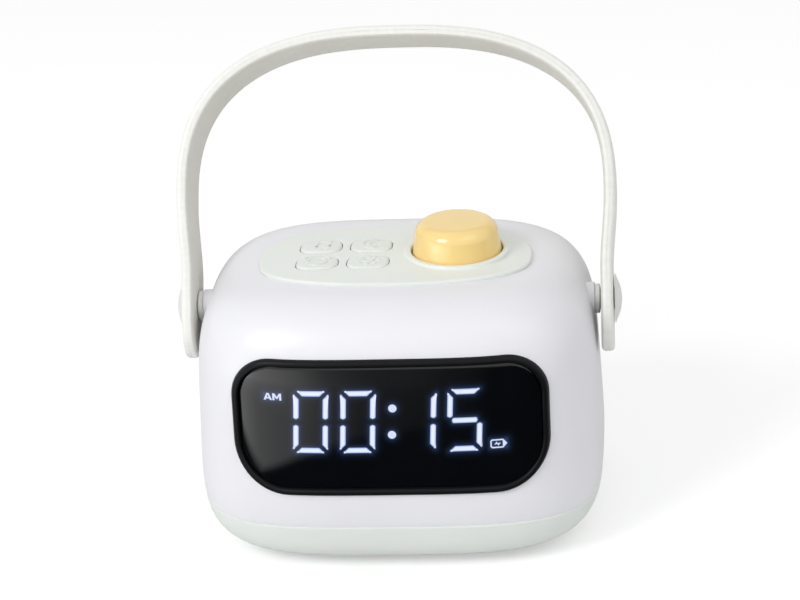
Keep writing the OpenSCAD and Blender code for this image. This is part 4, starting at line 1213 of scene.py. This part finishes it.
def makeWorld():  # pure white where it is seen, dimmer as a light
    world = bpy.data.worlds.new("studio")
    world.use_nodes = True
    world.node_tree.nodes.clear()
    start = Wire(world.node_tree)
    seen = [start.node("LightPath", {}, {}, ray)
            for ray in ("Is Camera Ray", "Is Glossy Ray", "Is Transmission Ray")]
    shown = seen[0].maths("MAXIMUM", seen[0].maths("MAXIMUM", seen[0], seen[1]), seen[2])
    light = start.node("Background", {}, {"Strength": shown * (1 - studio["world"]) + studio["world"],
                                          "Color": (1, 1, 1, 1)})
    start.node("OutputWorld", {}, {"Surface": light})
    bpy.context.scene.world = world


floorLook = {"radius": 4, "around": 96, "cloud": 8, "deep": 0.86, "light": 0.88, "shine": 0.36}


def matteFloor(place, look):
    deep, light = [(look[shade],) * 3 + (1,) for shade in ("deep", "light")]
    paper = mixColours(noise(place, look["cloud"]), deep, light)
    cameraRay = place.node("LightPath", {}, {}, "Is Camera Ray")
    matte = place.node("BsdfDiffuse", {}, {"Color": paper})
    shine = place.node("Emission", {}, {"Strength": cameraRay * look["shine"]})
    return place.node("AddShader", {}, {0: matte, 1: shine})


def makeFloor():
    bm = bmesh.new()
    bmesh.ops.create_circle(bm, cap_ends=True, segments=floorLook["around"], radius=floorLook["radius"])
    floor = meshObject("floor", bm)
    floor.data.materials.append(makeMaterial("floor", matteFloor, floorLook))


# a card that only reflections see: it lies before the clock, dark but for a grey patch on its left,
# which the window mirrors
card = {"near": -0.064, "far": -2.4, "halfWidth": 1.6, "height": 0.0004, "level": 2.2,
        # the patch's near edge, and its fade to the right
        "line": -0.2, "slope": 0.346, "bend": 3.42, "turn": -0.107, "soft": 0.014,
        "dark": -0.25, "spread": 1.45,
        "fade": [(0, 0), (0.17, 0.03), (0.24, 0.06), (0.31, 0.15), (0.4, 0.34), (0.5, 0.46), (0.75, 0.64),
                 (1, 1)],
        # it brightens away from the clock
        "farFrom": -0.2, "farReach": 0.2, "farGain": 0.8}


def glowingPatch(place, look):
    across, along = [place.node("SeparateXYZ", {}, {0: place}, axis) for axis in "XY"]
    bound = across.maths("MAXIMUM", across, look["turn"])
    edge = look["line"] - bound * look["slope"] + bound * bound * look["bend"]
    patch = ((edge - along) * (1 / look["soft"])).clamped()
    leftward = (across.maths("DIVIDE", across, along) - look["dark"]) * (1 / look["spread"])
    fade = place.node("ValToRGB", {"stops": look["fade"]}, {"Fac": leftward})
    farther = ((look["farFrom"] - along) * (1 / look["farReach"])).clamped() * look["farGain"] + 1
    return place.node("Emission", {}, {"Color": fade, "Strength": patch * farther * look["level"]})


def makeCard():
    bm = bmesh.new()
    startSheet(bm, 2 * card["halfWidth"], card["near"] - card["far"])
    bmesh.ops.translate(bm, vec=(0, (card["near"] + card["far"]) / 2, card["height"]), verts=bm.verts[:])
    sheet = meshObject("reflectedCard", bm)
    for ray in ("camera", "diffuse", "transmission", "volume_scatter", "shadow"):
        setattr(sheet, "visible_" + ray, False)
    sheet.data.materials.append(makeMaterial("reflectedCard", glowingPatch, card))


makeCamera()
makeWorld()
makeFloor()
makeCard()
for lampName, lamp in lamps.items():
    makeLamp(lampName, **lamp)
bpy.context.scene.view_settings.view_transform = "Standard"
print("studio:", len(lamps), "lamps")
